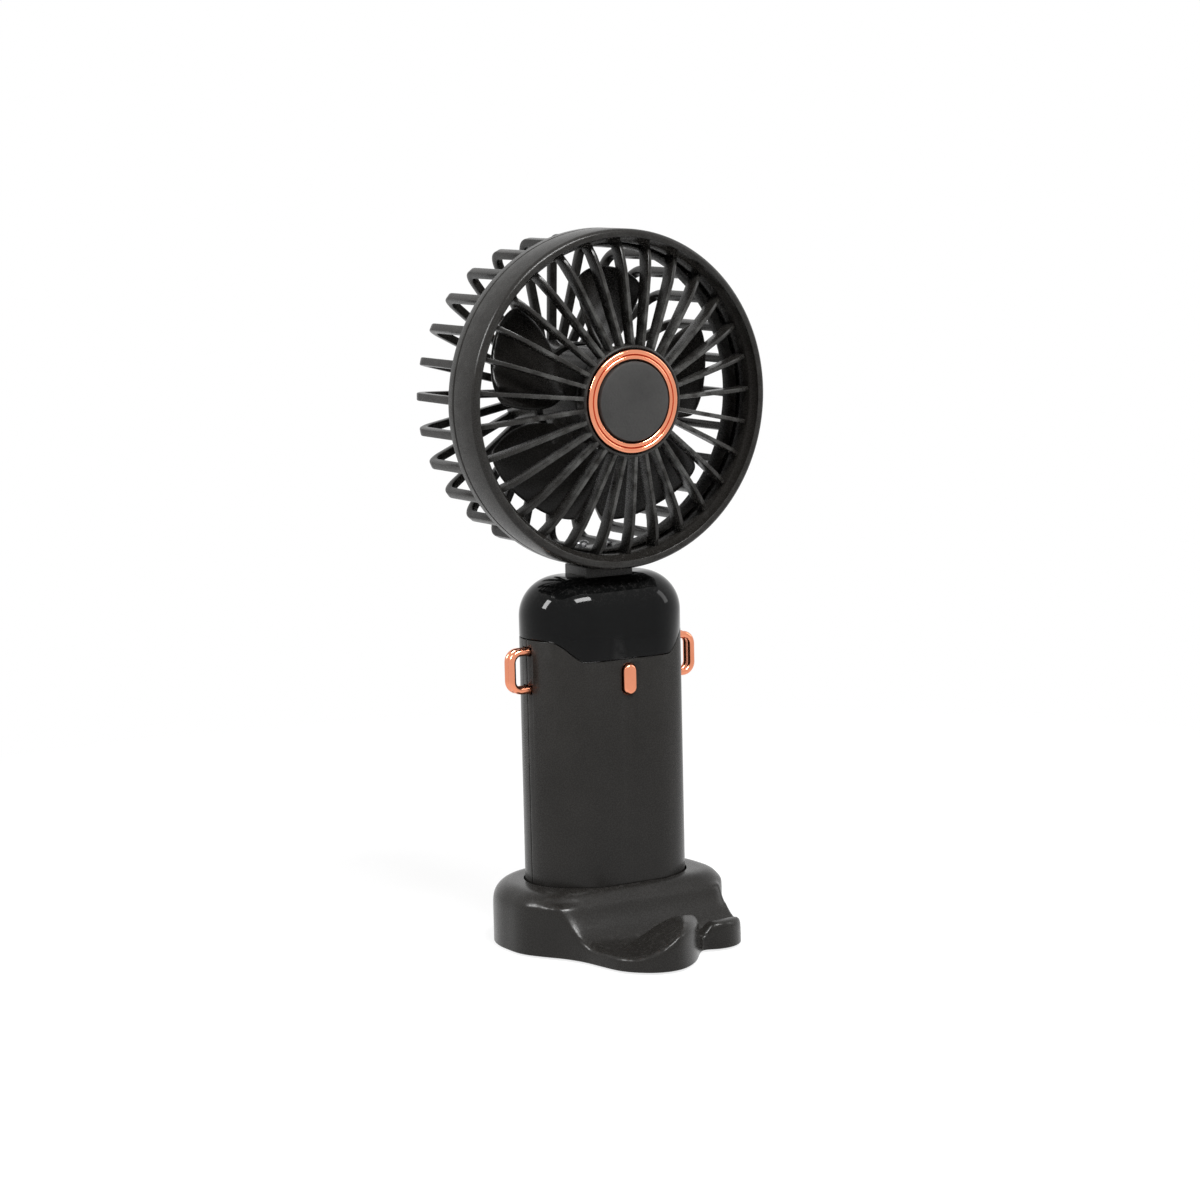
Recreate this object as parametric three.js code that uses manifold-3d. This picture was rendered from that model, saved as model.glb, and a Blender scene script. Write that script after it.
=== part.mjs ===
// Desk fan: a hand-held fan with a caged head that tilts back, standing in a weighted dock
// whose front is a ledge that holds a phone. Millimetres, +Z up, front towards -Y.
// The origin is on the handle's axis at desk level.

import * as THREE from 'three';
import { mergeVertices } from 'three/addons/utils/BufferGeometryUtils.js';
import Module from 'manifold-3d';

const wasm = await Module();
wasm.setup();

// ---- Clearances ----
const touch = 0.3; // between two pieces that rest on or close against each other
const slip = 0.5; // around a piece that slides or swings
const bore = 0.3; // radial, around a pin or screw shank

// ---- Handle ----
const handleWidth = 50.9;
const handleLength = 102.8;
const handleWall = 2;
const boardRoom = 4.55; // between the front wall and the cell, for the button, switch and board
const cellRadius = 9.2;
const cellLength = 65;
const rearRoom = 5.55; // between the cell and the rear wall, for the socket
const handleDepth = 2 * handleWall + boardRoom + 2 * cellRadius + rearRoom;
const footRadius = 3;
const capEdgeRadius = 12;
const tongueDrop = 24.1; // from the cap's top to the low part of its edge, front and rear
const sideDrop = 17.8; // from the cap's top to the high part of its edge, at the sides
const tongueInset = 11.45; // from the handle's side to the end of the edge's low part
const shoulderInset = 2.05; // from the handle's side to the start of its high part
const seamGap = 0.3;

// ---- Dock ----
const dockMargin = 9.9; // from the handle's sides to the dock body's sides
const dockRise = 19;
const dockEdgeRadius = 6;
const dockWall = 2;
const cornerRadius = 16.2;
const socketFloor = 7.4;
const frontFace = 21.3; // from the axis forward to the dock body's front face
const ledgeFloor = 4.6;
const coveReach = 13; // from the body's front face forward to the cove's foot
const coveRise = 11;
const coveBend = 0.8; // 0 is a straight slope, 1 an upright start
const coveCorner = 12; // the round of the cove's top line at the body's corners
const ledgeReach = 34; // from the body's front face forward to beyond the ledge's furthest edge
const padThickness = 1;
const padProud = 0.5;
const plateThickness = 1.8;
const weightThickness = 2.7;
const weightInset = 2.8; // from the socket's wall to the weight's edge

// ---- Head ----
const rimRadius = 50;
const rimWall = 4;
const rimDepth = 16;
const bandDepth = 4;
const spokeCount = 29;
const spokeThickness = 1.2;
const firstSpoke = 2.6; // degrees clockwise from the top
const hubRadius = 16.5;
const hubFront = 21.7;
const hubRecess = 3.1;
const ribCount = 28;
const ribWidth = 2.4;
const ribThickness = 2.6;
const ribInset = 2.4; // from the rim's outside to the ribs' outside
const firstRib = 1.9; // degrees clockwise from the bottom
const cageDepth = 27;
const cageCorner = 5.5;
const rearHubRadius = 15.8;
const rearHubFront = 9;
const rearHubWall = 1.8;

// ---- Tilt joint ----
const pivotDrop = 16.5; // from the cap's top down to the hinge pin
const pivotToRim = 19;
const neckWidth = 16;
const neckDepth = 13;
const pinRadius = 2.2;
const cheekThickness = 2;
const washerThickness = 0.8;

// ---- Motor and impeller ----
const tipClearance = 7; // between the blades' tips and the rim
const bladeCount = 5;
const impellerHubRadius = 15;
const impellerHubFront = 15;
const impellerHubRear = 6;
const impellerWall = 1.6;
const bladeThickness = 1.5;
const bladeHalfChord = 16.8;
const firstBlade = 7;
const shaftRadius = 1;
const bearingRadius = 2.6;
const bearingLength = 2.2;
const bearingTubeWall = 1.1;
const statorRadius = 10;
const poleCount = 6;
const magnetThickness = 1.5;
const flangeRadius = 12.5;
const canWall = 0.8;
const motorScrewCircle = 9;

// ---- Handle contents ----
const boardThickness = 1.2;
const buttonWidth = 4.4;
const buttonHeight = 9.1;
const buttonProud = 1.25;
const buttonTravel = 0.6;
const buttonDrop = 30.2; // from the cap's top to the button's centre
const loopDrop = 27.1; // from the cap's top to the lanyard loops' centre
const loopReach = 6.8;
const loopRoot = 3.2; // how far the loops reach into the handle
const loopCorner = 4;
const loopHeight = 13.6;
const loopBar = 2.2;
const loopDepth = 4.6;
const frontBossRadius = 2.6;
const rearBossRadius = 3;
const boardSide = 3.9; // between the main board's edges and the screw bosses
const screwShank = 1;
const screwHead = 2.1;
const screwHeadHeight = 1.4;
const usbWidth = 9;
const usbHeight = 3.3;

// ---- Levels and places that follow from the sizes ----
const handleBottom = socketFloor + touch;
const capTop = handleBottom + handleLength;
const tongueLevel = capTop - tongueDrop;
const sideLevel = capTop - sideDrop;
const pivotLevel = capTop - pivotDrop;
const headReach = pivotToRim + rimRadius;
const buttonLevel = capTop - buttonDrop;
const loopLevel = capTop - loopDrop;
const tongueHalfWidth = handleWidth / 2 - tongueInset;
const shoulderHalfWidth = handleWidth / 2 - shoulderInset;
const impellerRadius = rimRadius - rimWall - tipClearance;
const frontWall = -handleDepth / 2;
const innerDepth = handleDepth / 2 - handleWall;
const straightHalf = (handleWidth - handleDepth) / 2; // of the handle's flat front and rear

// ---- Solids ----

function solidOf(geometry) {
  const bare = geometry.clone();
  bare.deleteAttribute('normal');
  bare.deleteAttribute('uv');
  const merged = mergeVertices(bare, 1e-5);
  const corners = merged.index.array;
  const kept = [];
  for (let i = 0; i < corners.length; i += 3) {
    const [a, b, c] = [corners[i], corners[i + 1], corners[i + 2]];
    if (a !== b && b !== c && c !== a) kept.push(a, b, c);
  }
  return new wasm.Manifold(new wasm.Mesh({
    numProp: 3,
    vertProperties: Float32Array.from(merged.attributes.position.array),
    triVerts: Uint32Array.from(kept),
  }));
}

function join(...solids) {
  return solids.reduce((whole, next) => whole.add(next));
}

function cut(body, ...tools) {
  return tools.reduce((whole, tool) => whole.subtract(tool), body);
}

function geometryOf(solid) {
  const { numProp, vertProperties, triVerts } = solid.getMesh();
  const positions = new Float32Array((vertProperties.length / numProp) * 3);
  for (let i = 0; i < positions.length / 3; i += 1) {
    for (let axis = 0; axis < 3; axis += 1) positions[3 * i + axis] = vertProperties[numProp * i + axis];
  }
  const geometry = new THREE.BufferGeometry();
  geometry.setAttribute('position', new THREE.BufferAttribute(positions, 3));
  geometry.setIndex(new THREE.BufferAttribute(Uint32Array.from(triVerts), 1));
  geometry.computeVertexNormals();
  return geometry;
}

function box(xLow, xHigh, yLow, yHigh, zLow, zHigh) {
  const geometry = new THREE.BoxGeometry(xHigh - xLow, yHigh - yLow, zHigh - zLow);
  geometry.translate((xLow + xHigh) / 2, (yLow + yHigh) / 2, (zLow + zHigh) / 2);
  return solidOf(geometry);
}

// A rod along X, Y or Z through the point given, from low to high on that axis.
function rod(axis, radius, low, high, at, sides = 18) {
  const geometry = new THREE.CylinderGeometry(radius, radius, high - low, sides);
  geometry.translate(0, (low + high) / 2, 0);
  if (axis === 'x') geometry.rotateZ(-Math.PI / 2);
  if (axis === 'z') geometry.rotateX(Math.PI / 2);
  geometry.translate(at.x ?? 0, at.y ?? 0, at.z ?? 0);
  return solidOf(geometry);
}

// A profile of [radius, height] points turned about the Y axis, or the Z axis.
function turned(profile, sides = 32, axis = 'y') {
  const points = profile.map(([radius, y]) => new THREE.Vector2(radius, y));
  if (THREE.ShapeUtils.area(points) < 0) points.reverse();
  const onAxis = points.some((point) => point.x === 0);
  if (!onAxis) points.push(points[0].clone());
  if (onAxis) {
    while (points[0].x !== 0 || points[points.length - 1].x !== 0) points.push(points.shift());
  }
  const geometry = new THREE.LatheGeometry(points, sides);
  if (axis === 'z') geometry.rotateX(Math.PI / 2);
  return solidOf(geometry);
}

function shapeOf(points) {
  return new THREE.Shape(points.map(([x, y]) => new THREE.Vector2(x, y)));
}

// An outline in X and Z, with its thickness along Y.
function slab(shape, yFront, yBack, curveSegments = 12) {
  const geometry = new THREE.ExtrudeGeometry(shape, { depth: yBack - yFront, bevelEnabled: false, curveSegments });
  geometry.rotateX(Math.PI / 2);
  geometry.translate(0, yBack, 0);
  return solidOf(geometry);
}

// An outline of [y, z] points, with its thickness along X.
function wall(points, xLow, xHigh) {
  const geometry = new THREE.ExtrudeGeometry(shapeOf(points), { depth: xHigh - xLow, bevelEnabled: false });
  geometry.rotateX(Math.PI / 2);
  geometry.rotateZ(Math.PI / 2);
  geometry.translate(xLow, 0, 0);
  return solidOf(geometry);
}

// A blade of metal or plastic that lies in the fan's radius and axis, [radius, y] points,
// standing at an angle clockwise from the top.
function fin(points, thickness, degrees) {
  const geometry = new THREE.ExtrudeGeometry(shapeOf(points), { depth: thickness, bevelEnabled: false });
  geometry.translate(0, 0, -thickness / 2);
  geometry.rotateY(THREE.MathUtils.degToRad(degrees - 90));
  return solidOf(geometry);
}

function arc(centreX, centreY, radius, fromDegrees, toDegrees, steps) {
  return Array.from({ length: steps + 1 }, (_, i) => {
    const angle = THREE.MathUtils.degToRad(fromDegrees + ((toDegrees - fromDegrees) * i) / steps);
    return [centreX + radius * Math.cos(angle), centreY + radius * Math.sin(angle)];
  });
}

// A straight-sided outline with round ends, its long axis along the first coordinate.
function stadium(width, depth, steps = 8) {
  const half = (width - depth) / 2;
  return [...arc(half, 0, depth / 2, -90, 90, steps), ...arc(-half, 0, depth / 2, 90, 270, steps)];
}

function standing(points) {
  return points.map(([x, y]) => [y, x]).reverse();
}

function shifted(points, dx, dy) {
  return points.map(([x, y]) => [x + dx, y + dy]);
}

// Rings of one outline, each drawn in by an inset at its own height, from the bottom up.
function loft(outlineAt, rings) {
  const positions = [];
  const index = [];
  const first = outlineAt(rings[0][0]);
  const count = first.length;
  for (const [inset, z] of rings) outlineAt(inset).forEach(([x, y]) => positions.push(x, y, z));
  for (let ring = 0; ring < rings.length - 1; ring += 1) {
    for (let i = 0; i < count; i += 1) {
      const a = ring * count + i;
      const b = ring * count + ((i + 1) % count);
      index.push(a, b, b + count, a, b + count, a + count);
    }
  }
  const vectorsOf = (outline) => outline.map(([x, y]) => new THREE.Vector2(x, y));
  const lastRing = (rings.length - 1) * count;
  const top = outlineAt(rings[rings.length - 1][0]);
  THREE.ShapeUtils.triangulateShape(vectorsOf(first), []).forEach(([a, b, c]) => index.push(a, c, b));
  THREE.ShapeUtils.triangulateShape(vectorsOf(top), []).forEach(([a, b, c]) => {
    index.push(lastRing + a, lastRing + b, lastRing + c);
  });
  const geometry = new THREE.BufferGeometry();
  geometry.setAttribute('position', new THREE.Float32BufferAttribute(positions, 3));
  geometry.setIndex(index);
  return solidOf(geometry);
}

// Rings for a rounded lower or upper edge.
function lowerEdge(radius, level, steps) {
  return Array.from({ length: steps }, (_, i) => {
    const angle = ((Math.PI / 2) * i) / steps;
    return [radius * (1 - Math.sin(angle)), level + radius * (1 - Math.cos(angle))];
  });
}

function upperEdge(radius, level, steps) {
  return lowerEdge(radius, 0, steps).map(([inset, rise]) => [inset, level - rise]).reverse();
}

// A screw whose head's underside is at 0 and whose tip is at the length given.
function screw(length, axis = 'y', headHeight = screwHeadHeight) {
  return turned([
    [0, -headHeight], [screwHead, -headHeight], [screwHead, 0],
    [screwShank, 0], [screwShank, length], [0, length],
  ], 16, axis);
}

// ---- Handle shells and cap ----

const handleOutline = (inset) => stadium(handleWidth - 2 * inset, handleDepth - 2 * inset);

function handleBody(inset) {
  return loft((extra) => handleOutline(inset + extra), [
    ...lowerEdge(footRadius, handleBottom + inset, 3),
    [0, handleBottom + inset + footRadius],
    [0, capTop - inset - capEdgeRadius],
    ...upperEdge(capEdgeRadius, capTop - inset, 6),
  ]);
}

// The edge between the cap and the shells: low across the front and rear, high at the sides.
function capEdgeAt(x) {
  const share = THREE.MathUtils.smoothstep(Math.abs(x), tongueHalfWidth, shoulderHalfWidth);
  return tongueLevel + (sideLevel - tongueLevel) * share;
}

function aboveCapEdge(gap) {
  const reach = handleWidth;
  const inner = Array.from({ length: 13 }, (_, i) => {
    return tongueHalfWidth + ((shoulderHalfWidth - tongueHalfWidth) * i) / 12;
  });
  const places = [-reach, ...inner.map((x) => -x).reverse(), ...inner, reach];
  const edge = places.map((x) => [x, capEdgeAt(x) + gap]);
  return slab(shapeOf([...edge, [reach, capTop + reach], [-reach, capTop + reach]]), -handleDepth, handleDepth);
}

const screwX = handleWidth / 2 - handleWall - 6.95;
const lowScrewLevel = handleBottom + 8.5;
const highScrewLevel = tongueLevel - 10.4;
const earThickness = 1.5;
const headSeat = 11;

function shellHalf(side) {
  const far = handleDepth;
  const levels = [lowScrewLevel, highScrewLevel];
  const half = side < 0
    ? box(-far, far, -far, -seamGap / 2, 0, 2 * capTop)
    : box(-far, far, seamGap / 2, far, 0, 2 * capTop);
  let shell = cut(handleBody(0), handleBody(handleWall));
  for (const z of levels) {
    for (const x of [-screwX, screwX]) {
      const rest = z === highScrewLevel ? earThickness / 2 + touch : seamGap / 2;
      const start = innerDepth - 1.2;
      const [low, high] = side < 0 ? [-start, -rest] : [rest, start];
      const boss = rod('y', side < 0 ? frontBossRadius : rearBossRadius, low, high, { x, z });
      shell = join(shell, boss.intersect(handleBody(handleWall / 2)));
    }
  }
  for (const z of levels) {
    for (const x of [-screwX, screwX]) {
      const clear = screwShank + bore;
      shell = cut(shell, side < 0
        ? rod('y', clear, -9, 1, { x, z }, 12)
        : join(
          rod('y', clear, -1, headSeat + 1, { x, z }, 12),
          rod('y', screwHead + bore, headSeat, far, { x, z }, 16),
        ));
    }
  }
  return cut(shell.intersect(half), aboveCapEdge(-seamGap / 2), loopRoots(touch));
}

function frontShell() {
  const hole = shapeOf(shifted(standing(stadium(buttonHeight + 0.7, buttonWidth + 0.7, 8)), 0, buttonLevel));
  return cut(shellHalf(-1), slab(hole, -handleDepth, -innerDepth + 1));
}

function rearShell() {
  const hole = shapeOf(shifted(stadium(usbWidth + 0.6, usbHeight + 0.6, 6), 0, usbLevel));
  return cut(shellHalf(1), slab(hole, innerDepth - 1, handleDepth));
}

function topCap() {
  const slotHalf = neckWidth / 2 + slip;
  const slotFront = -neckDepth / 2 - slip;
  const shell = cut(handleBody(0), handleBody(handleWall)).intersect(aboveCapEdge(seamGap / 2));
  return cut(shell, box(-slotHalf, slotHalf, slotFront, handleDepth, tongueLevel - 2, 2 * capTop));
}

// ---- Lanyard loops, clamped in the side seams ----

function loopRoots(gap) {
  const deep = handleWidth / 2 - loopRoot - gap;
  const far = handleWidth / 2 + 1;
  const [low, high] = [loopLevel - loopHeight / 2 - gap, loopLevel + loopHeight / 2 + gap];
  const depth = loopDepth / 2 + gap;
  return join(box(-far, -deep, -depth, depth, low, high), box(deep, far, -depth, depth, low, high));
}

// A D-shaped outline standing in X and Z, straight on its left.
function dShape(left, right, halfHeight, corner) {
  return shapeOf([
    [left, -halfHeight], ...arc(right - corner, -halfHeight + corner, corner, -90, 0, 5),
    ...arc(right - corner, halfHeight - corner, corner, 0, 90, 5), [left, halfHeight],
  ]);
}

function lanyardLoop() {
  const surface = handleWidth / 2;
  const tip = surface + loopReach;
  const outer = dShape(surface - loopRoot, tip, loopHeight / 2, loopCorner);
  const inner = dShape(surface + touch, tip - loopBar, loopHeight / 2 - loopBar, loopCorner - loopBar);
  return cut(slab(outer, -loopDepth / 2, loopDepth / 2), slab(inner, -loopDepth, loopDepth));
}

// ---- Inside the handle ----

const cellCentreY = frontWall + handleWall + boardRoom + cellRadius;
const cellBottom = handleBottom + 6.3;
const boardBack = cellCentreY - cellRadius - touch;
const boardFront = boardBack - boardThickness;
const usbLevel = handleBottom + 21;
const usbBack = handleDepth / 2 - 0.25;
const usbLength = 6.6;

function batteryCell() {
  const cap = 3;
  return join(
    rod('z', cellRadius, cellBottom, cellBottom + cellLength - 1, { y: cellCentreY }, 24),
    rod('z', cap, cellBottom + cellLength - 2, cellBottom + cellLength, { y: cellCentreY }, 16),
  );
}

function mainBoard() {
  const half = screwX - frontBossRadius - boardSide;
  return box(-half, half, boardFront, boardBack, handleBottom + 28, buttonLevel + 5);
}

const flangeThickness = 0.6;
const flangeBack = -innerDepth + 0.35 + flangeThickness;
const switchTop = flangeBack + buttonTravel + 0.1;

function powerSwitch() {
  const half = 3;
  const seat = boardFront - touch;
  return join(
    box(-half, half, switchTop + 0.4, seat, buttonLevel - half, buttonLevel + half),
    rod('y', 1.6, switchTop, seat, { z: buttonLevel }, 16),
  );
}

function powerButton() {
  const face = frontWall - buttonProud;
  const body = (grow) => standing(stadium(buttonHeight + grow, buttonWidth + grow, 8));
  const placed = (grow) => shapeOf(shifted(body(grow), 0, buttonLevel));
  return join(
    slab(placed(-1), face, flangeBack),
    slab(placed(0), face + 0.5, flangeBack),
    slab(placed(2), flangeBack - flangeThickness, flangeBack),
  );
}

// The board's rear corners stay inside the wall where it starts to turn.
function chargeBoard() {
  const half = 8;
  const clear = 0.5;
  const top = usbLevel - usbHeight / 2 - touch;
  const pastStraight = Math.max(0, half - straightHalf);
  const back = Math.sqrt((innerDepth - clear) ** 2 - pastStraight ** 2);
  return box(-half, half, usbBack - usbLength, back, top - boardThickness, top);
}

function usbSocket() {
  const front = usbBack - usbLength;
  const outline = (shrink) => shapeOf(shifted(stadium(usbWidth - shrink, usbHeight - shrink, 6), 0, usbLevel));
  const tongue = [3.35, 0.35];
  return join(
    cut(slab(outline(0), front, usbBack), slab(outline(0.9), front + 1, usbBack + 1)),
    box(-tongue[0], tongue[0], front + 0.5, usbBack - 1, usbLevel - tongue[1], usbLevel + tongue[1]),
  );
}

// ---- Tilt joint ----

const knuckleRadius = 6.5;
const cheekInner = neckWidth / 2 + touch + washerThickness + touch;
const cheekOuter = cheekInner + cheekThickness;
const bracketFloor = pivotLevel - 12.5;
const bracketThickness = 2;
const plateClearance = 0.8; // between the bracket's corners and the shells' inner face

// Its ears stop short of the cell, which stands between them.
function hingeBracket() {
  const cheekRadius = 5.5;
  const cheek = (low, high) => join(
    rod('x', cheekRadius, low, high, { z: pivotLevel }),
    box(low, high, -cheekRadius, cheekRadius, bracketFloor, pivotLevel),
  );
  const earHalf = 3.5;
  const earInner = screwX - Math.min(earHalf, screwX - cellRadius - slip);
  const ear = (xLow, xHigh) => box(
    xLow, xHigh, -earThickness / 2, earThickness / 2,
    highScrewLevel - earHalf, bracketFloor + bracketThickness,
  );
  const plateWidth = screwX + earHalf;
  const plateDepth = Math.sqrt((innerDepth - plateClearance) ** 2 - (plateWidth - straightHalf) ** 2);
  return cut(
    join(
      box(-plateWidth, plateWidth, -plateDepth, plateDepth, bracketFloor, bracketFloor + bracketThickness),
      cheek(-cheekOuter, -cheekInner),
      cheek(cheekInner, cheekOuter),
      ear(-screwX - earHalf, -earInner),
      ear(earInner, screwX + earHalf),
    ),
    rod('x', pinRadius + bore, -handleWidth, handleWidth, { z: pivotLevel }),
    rod('y', screwShank + bore, -5, 5, { x: -screwX, z: highScrewLevel }, 12),
    rod('y', screwShank + bore, -5, 5, { x: screwX, z: highScrewLevel }, 12),
    box(-neckWidth / 2 - slip, neckWidth / 2 + slip, -3, 3, bracketFloor - 1, bracketFloor + 5),
  );
}

function hingePin() {
  const headHeight = 1.2;
  const end = cheekOuter + 1;
  return join(
    rod('x', pinRadius, -end, end, {}),
    rod('x', pinRadius + 1.2, cheekOuter + touch, cheekOuter + touch + headHeight, {}),
  );
}

function frictionWasher(side) {
  const inner = neckWidth / 2 + touch;
  const [low, high] = side < 0 ? [-inner - washerThickness, -inner] : [inner, inner + washerThickness];
  return cut(rod('x', 5.2, low, high, {}), rod('x', pinRadius + bore, low - 1, high + 1, {}));
}

const neckScrewX = 4;
const neckScrewY = 2.6;
const bossInner = rimRadius - rimWall - 1.1;

// The arm stands on the pin, so its own origin is the pin's middle.
function neckArm() {
  const half = neckWidth / 2;
  const front = neckDepth / 2;
  const top = headReach - Math.sqrt((rimRadius + touch) ** 2 - half ** 2) + 4;
  const saddle = rod('y', rimRadius + touch, -front - 1, front + 1, { z: headReach }, 90);
  const screwHole = (x) => rod('z', screwShank + bore, pivotToRim - 9, top, { x, y: neckScrewY }, 12);
  return cut(
    join(rod('x', knuckleRadius, -half, half, {}), box(-half, half, -front, front, 0, top)),
    rod('x', pinRadius + bore, -half - 1, half + 1, {}),
    saddle,
    screwHole(-neckScrewX),
    screwHole(neckScrewX),
  );
}

// ---- Head: the fan's axis is Y through the head's own origin ----

const splitFront = -bandDepth - touch / 2;
const splitRear = -bandDepth + touch / 2;
const rimInner = rimRadius - rimWall;
const rimFront = -rimDepth;
const hubPlate = -hubFront + hubRecess;
const spokeBendRadius = rimInner - 5;

function frontGrille() {
  const lip = rimInner + 1.6;
  const rim = turned([
    [rimInner, splitFront], [rimInner, rimFront + 2.4], [lip - 0.4, rimFront + 1.2], [lip, rimFront],
    [rimRadius - 1, rimFront], [rimRadius - 0.3, rimFront + 0.6], [rimRadius, rimFront + 1.8],
    [rimRadius, splitFront],
  ], 60);
  const hubBack = hubPlate + 1.3;
  const hub = turned([
    [0, hubBack], [hubRadius, hubBack], [hubRadius, -hubFront + 0.5], [hubRadius - 0.4, -hubFront],
    [hubRadius - 0.9, -hubFront], [hubRadius - 1, hubPlate], [0, hubPlate],
  ]);
  const spokeEnds = [
    [hubRadius - 0.3, -hubFront + 0.3], [spokeBendRadius, rimFront + 0.3], [rimInner + 0.4, rimFront + 3.5],
    [rimInner + 0.4, rimFront + 8.8], [spokeBendRadius, rimFront + 5.6], [hubRadius - 0.3, hubBack - 0.2],
  ];
  const spokes = Array.from({ length: spokeCount }, (_, i) => {
    return fin(spokeEnds, spokeThickness, firstSpoke + (i * 360) / spokeCount);
  });
  return join(rim, hub, ...spokes);
}

const trimInner = 12.1;
const trimOuter = hubRadius - 1 - touch;
const trimSeat = hubPlate - touch;

function hubTrimRing() {
  const middle = (trimInner + trimOuter) / 2;
  const crown = -hubFront - 0.8;
  const valley = crown + 0.8;
  return turned([
    [trimInner, trimSeat], [trimOuter, trimSeat], [trimOuter, valley], [trimOuter - 0.3, crown + 0.2],
    [trimOuter - 0.8, crown], [middle + 0.2, valley - 0.1], [middle - 0.2, valley - 0.1],
    [trimInner + 0.8, crown], [trimInner + 0.3, crown + 0.2], [trimInner, valley],
  ]);
}

function hubBadge() {
  const radius = trimInner - touch - 0.1;
  const face = -hubFront - 1.3;
  return turned([[0, trimSeat], [radius, trimSeat], [radius, face + 0.5], [radius - 0.4, face], [0, face]]);
}

function rearCage() {
  const spigot = rimInner - touch;
  const band = turned([
    [bossInner, -7], [spigot, -7], [spigot, splitRear], [rimRadius, splitRear],
    [rimRadius, -1.2], [rimRadius - 1, 0], [bossInner, 0],
  ], 60);
  const outer = rimRadius - ribInset;
  const inner = outer - ribThickness;
  const root = rearHubRadius - 0.6;
  const corner = cageCorner;
  const rib = [
    [outer, -1.5], ...arc(outer - corner, cageDepth - corner, corner, 0, 90, 3),
    [root, cageDepth], [root, cageDepth - ribThickness],
    ...arc(outer - corner, cageDepth - corner, corner - ribThickness, 90, 0, 2), [inner, -1.5],
  ];
  const ribs = Array.from({ length: ribCount }, (_, i) => fin(rib, ribWidth, 180 + firstRib + (i * 360) / ribCount));
  const hubInner = rearHubRadius - rearHubWall;
  const hub = turned([
    [leadHole, rearHubFront], [rearHubRadius, rearHubFront], [rearHubRadius, cageDepth],
    [hubInner, cageDepth], [hubInner, rearHubFront + 2], [leadHole, rearHubFront + 2],
  ]);
  const bossDepth = neckDepth / 2;
  const boss = turned([
    [bossInner, splitRear], [rimRadius, splitRear], [rimRadius, bossDepth], [bossInner, bossDepth],
  ], 90).intersect(box(-neckWidth / 2, neckWidth / 2, -rimDepth, rimDepth, -2 * rimRadius, 0));
  const neckHoles = [-neckScrewX, neckScrewX].map((x) => {
    return rod('z', screwShank + bore, -2 * rimRadius, -rimInner + 3, { x, y: neckScrewY }, 12);
  });
  const motorHoles = motorScrewPlaces().map(([x, z]) => {
    return rod('y', screwShank + bore, rearHubFront - 1, rearHubFront + 3, { x, z }, 12);
  });
  return cut(join(band, hub, boss, ...ribs), ...neckHoles, ...motorHoles);
}

const leadHole = 4;

function motorScrewPlaces() {
  return arc(0, 0, motorScrewCircle, 90, 330, 2);
}

function rearHubCover() {
  const radius = rearHubRadius - rearHubWall - touch;
  return turned([
    [0, cageDepth - 2], [radius, cageDepth - 2], [radius, cageDepth - 0.4],
    [radius - 0.4, cageDepth], [0, cageDepth],
  ]);
}

// ---- Motor: the stator stands on the base's tube, the can and magnet turn with the impeller ----

const baseBack = rearHubFront - touch;
const baseFront = baseBack - 1.5;
const tubeOuter = bearingRadius + bearingTubeWall;
const statorLow = -6;
const statorHigh = 2;

function motorBase() {
  const tubeFront = statorLow - 2.5;
  const tubeInner = bearingRadius + touch;
  const screwHoles = motorScrewPlaces().map(([x, z]) => {
    return rod('y', screwShank + bore, baseFront - 1, baseBack + 1, { x, z }, 12);
  });
  return cut(turned([
    [tubeInner, baseBack], [flangeRadius, baseBack], [flangeRadius, baseFront], [tubeOuter, baseFront],
    [tubeOuter, tubeFront], [tubeInner, tubeFront],
  ]), ...screwHoles);
}

function statorCore() {
  const poleHalf = 1.5;
  const hubOuter = tubeOuter + touch + 1.6;
  const shoeInner = statorRadius - 1.4;
  const shoeAngle = 24;
  const ring = turned([
    [tubeOuter + touch, statorLow], [hubOuter, statorLow], [hubOuter, statorHigh], [tubeOuter + touch, statorHigh],
  ]);
  const poles = Array.from({ length: poleCount }, (_, i) => {
    const turn = (i * 360) / poleCount;
    const shoe = [
      ...arc(0, 0, statorRadius, -shoeAngle, shoeAngle, 6),
      ...arc(0, 0, shoeInner, shoeAngle, -shoeAngle, 6),
    ];
    const spin = (points) => points.map(([x, z]) => turnedPoint(x, z, turn));
    const stem = [
      [hubOuter - 0.5, -poleHalf], [shoeInner + 0.5, -poleHalf],
      [shoeInner + 0.5, poleHalf], [hubOuter - 0.5, poleHalf],
    ];
    return join(
      slab(shapeOf(spin(shoe)), statorLow, statorHigh),
      slab(shapeOf(spin(stem)), statorLow, statorHigh),
    );
  });
  return join(ring, ...poles);
}

function turnedPoint(x, z, degrees) {
  const angle = THREE.MathUtils.degToRad(degrees);
  return [x * Math.cos(angle) - z * Math.sin(angle), x * Math.sin(angle) + z * Math.cos(angle)];
}

// One winding, around a pole that points along +X.
function statorCoil() {
  const innerHalf = 1.5 + touch;
  const outerHalf = innerHalf + 0.8;
  const [low, high] = [tubeOuter + touch + 1.9, statorRadius - 2.2];
  return cut(
    box(low, high, statorLow - 1.2, statorHigh + 1.2, -outerHalf, outerHalf),
    box(low - 1, high + 1, statorLow - touch, statorHigh + touch, -innerHalf, innerHalf),
  );
}

function motorBoard() {
  const [low, high] = [tubeOuter + touch, flangeRadius - 0.5];
  const back = baseFront - touch;
  const front = back - 0.8;
  return turned([[low, front], [high, front], [high, back], [low, back]]);
}

function bearing(front) {
  const inner = shaftRadius + bore;
  const back = front + bearingLength;
  return turned([[inner, front], [bearingRadius, front], [bearingRadius, back], [inner, back]], 24);
}

const hubBoreEnd = -impellerHubFront + 0.8;
const canFront = -impellerHubFront + 4.8;

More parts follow.
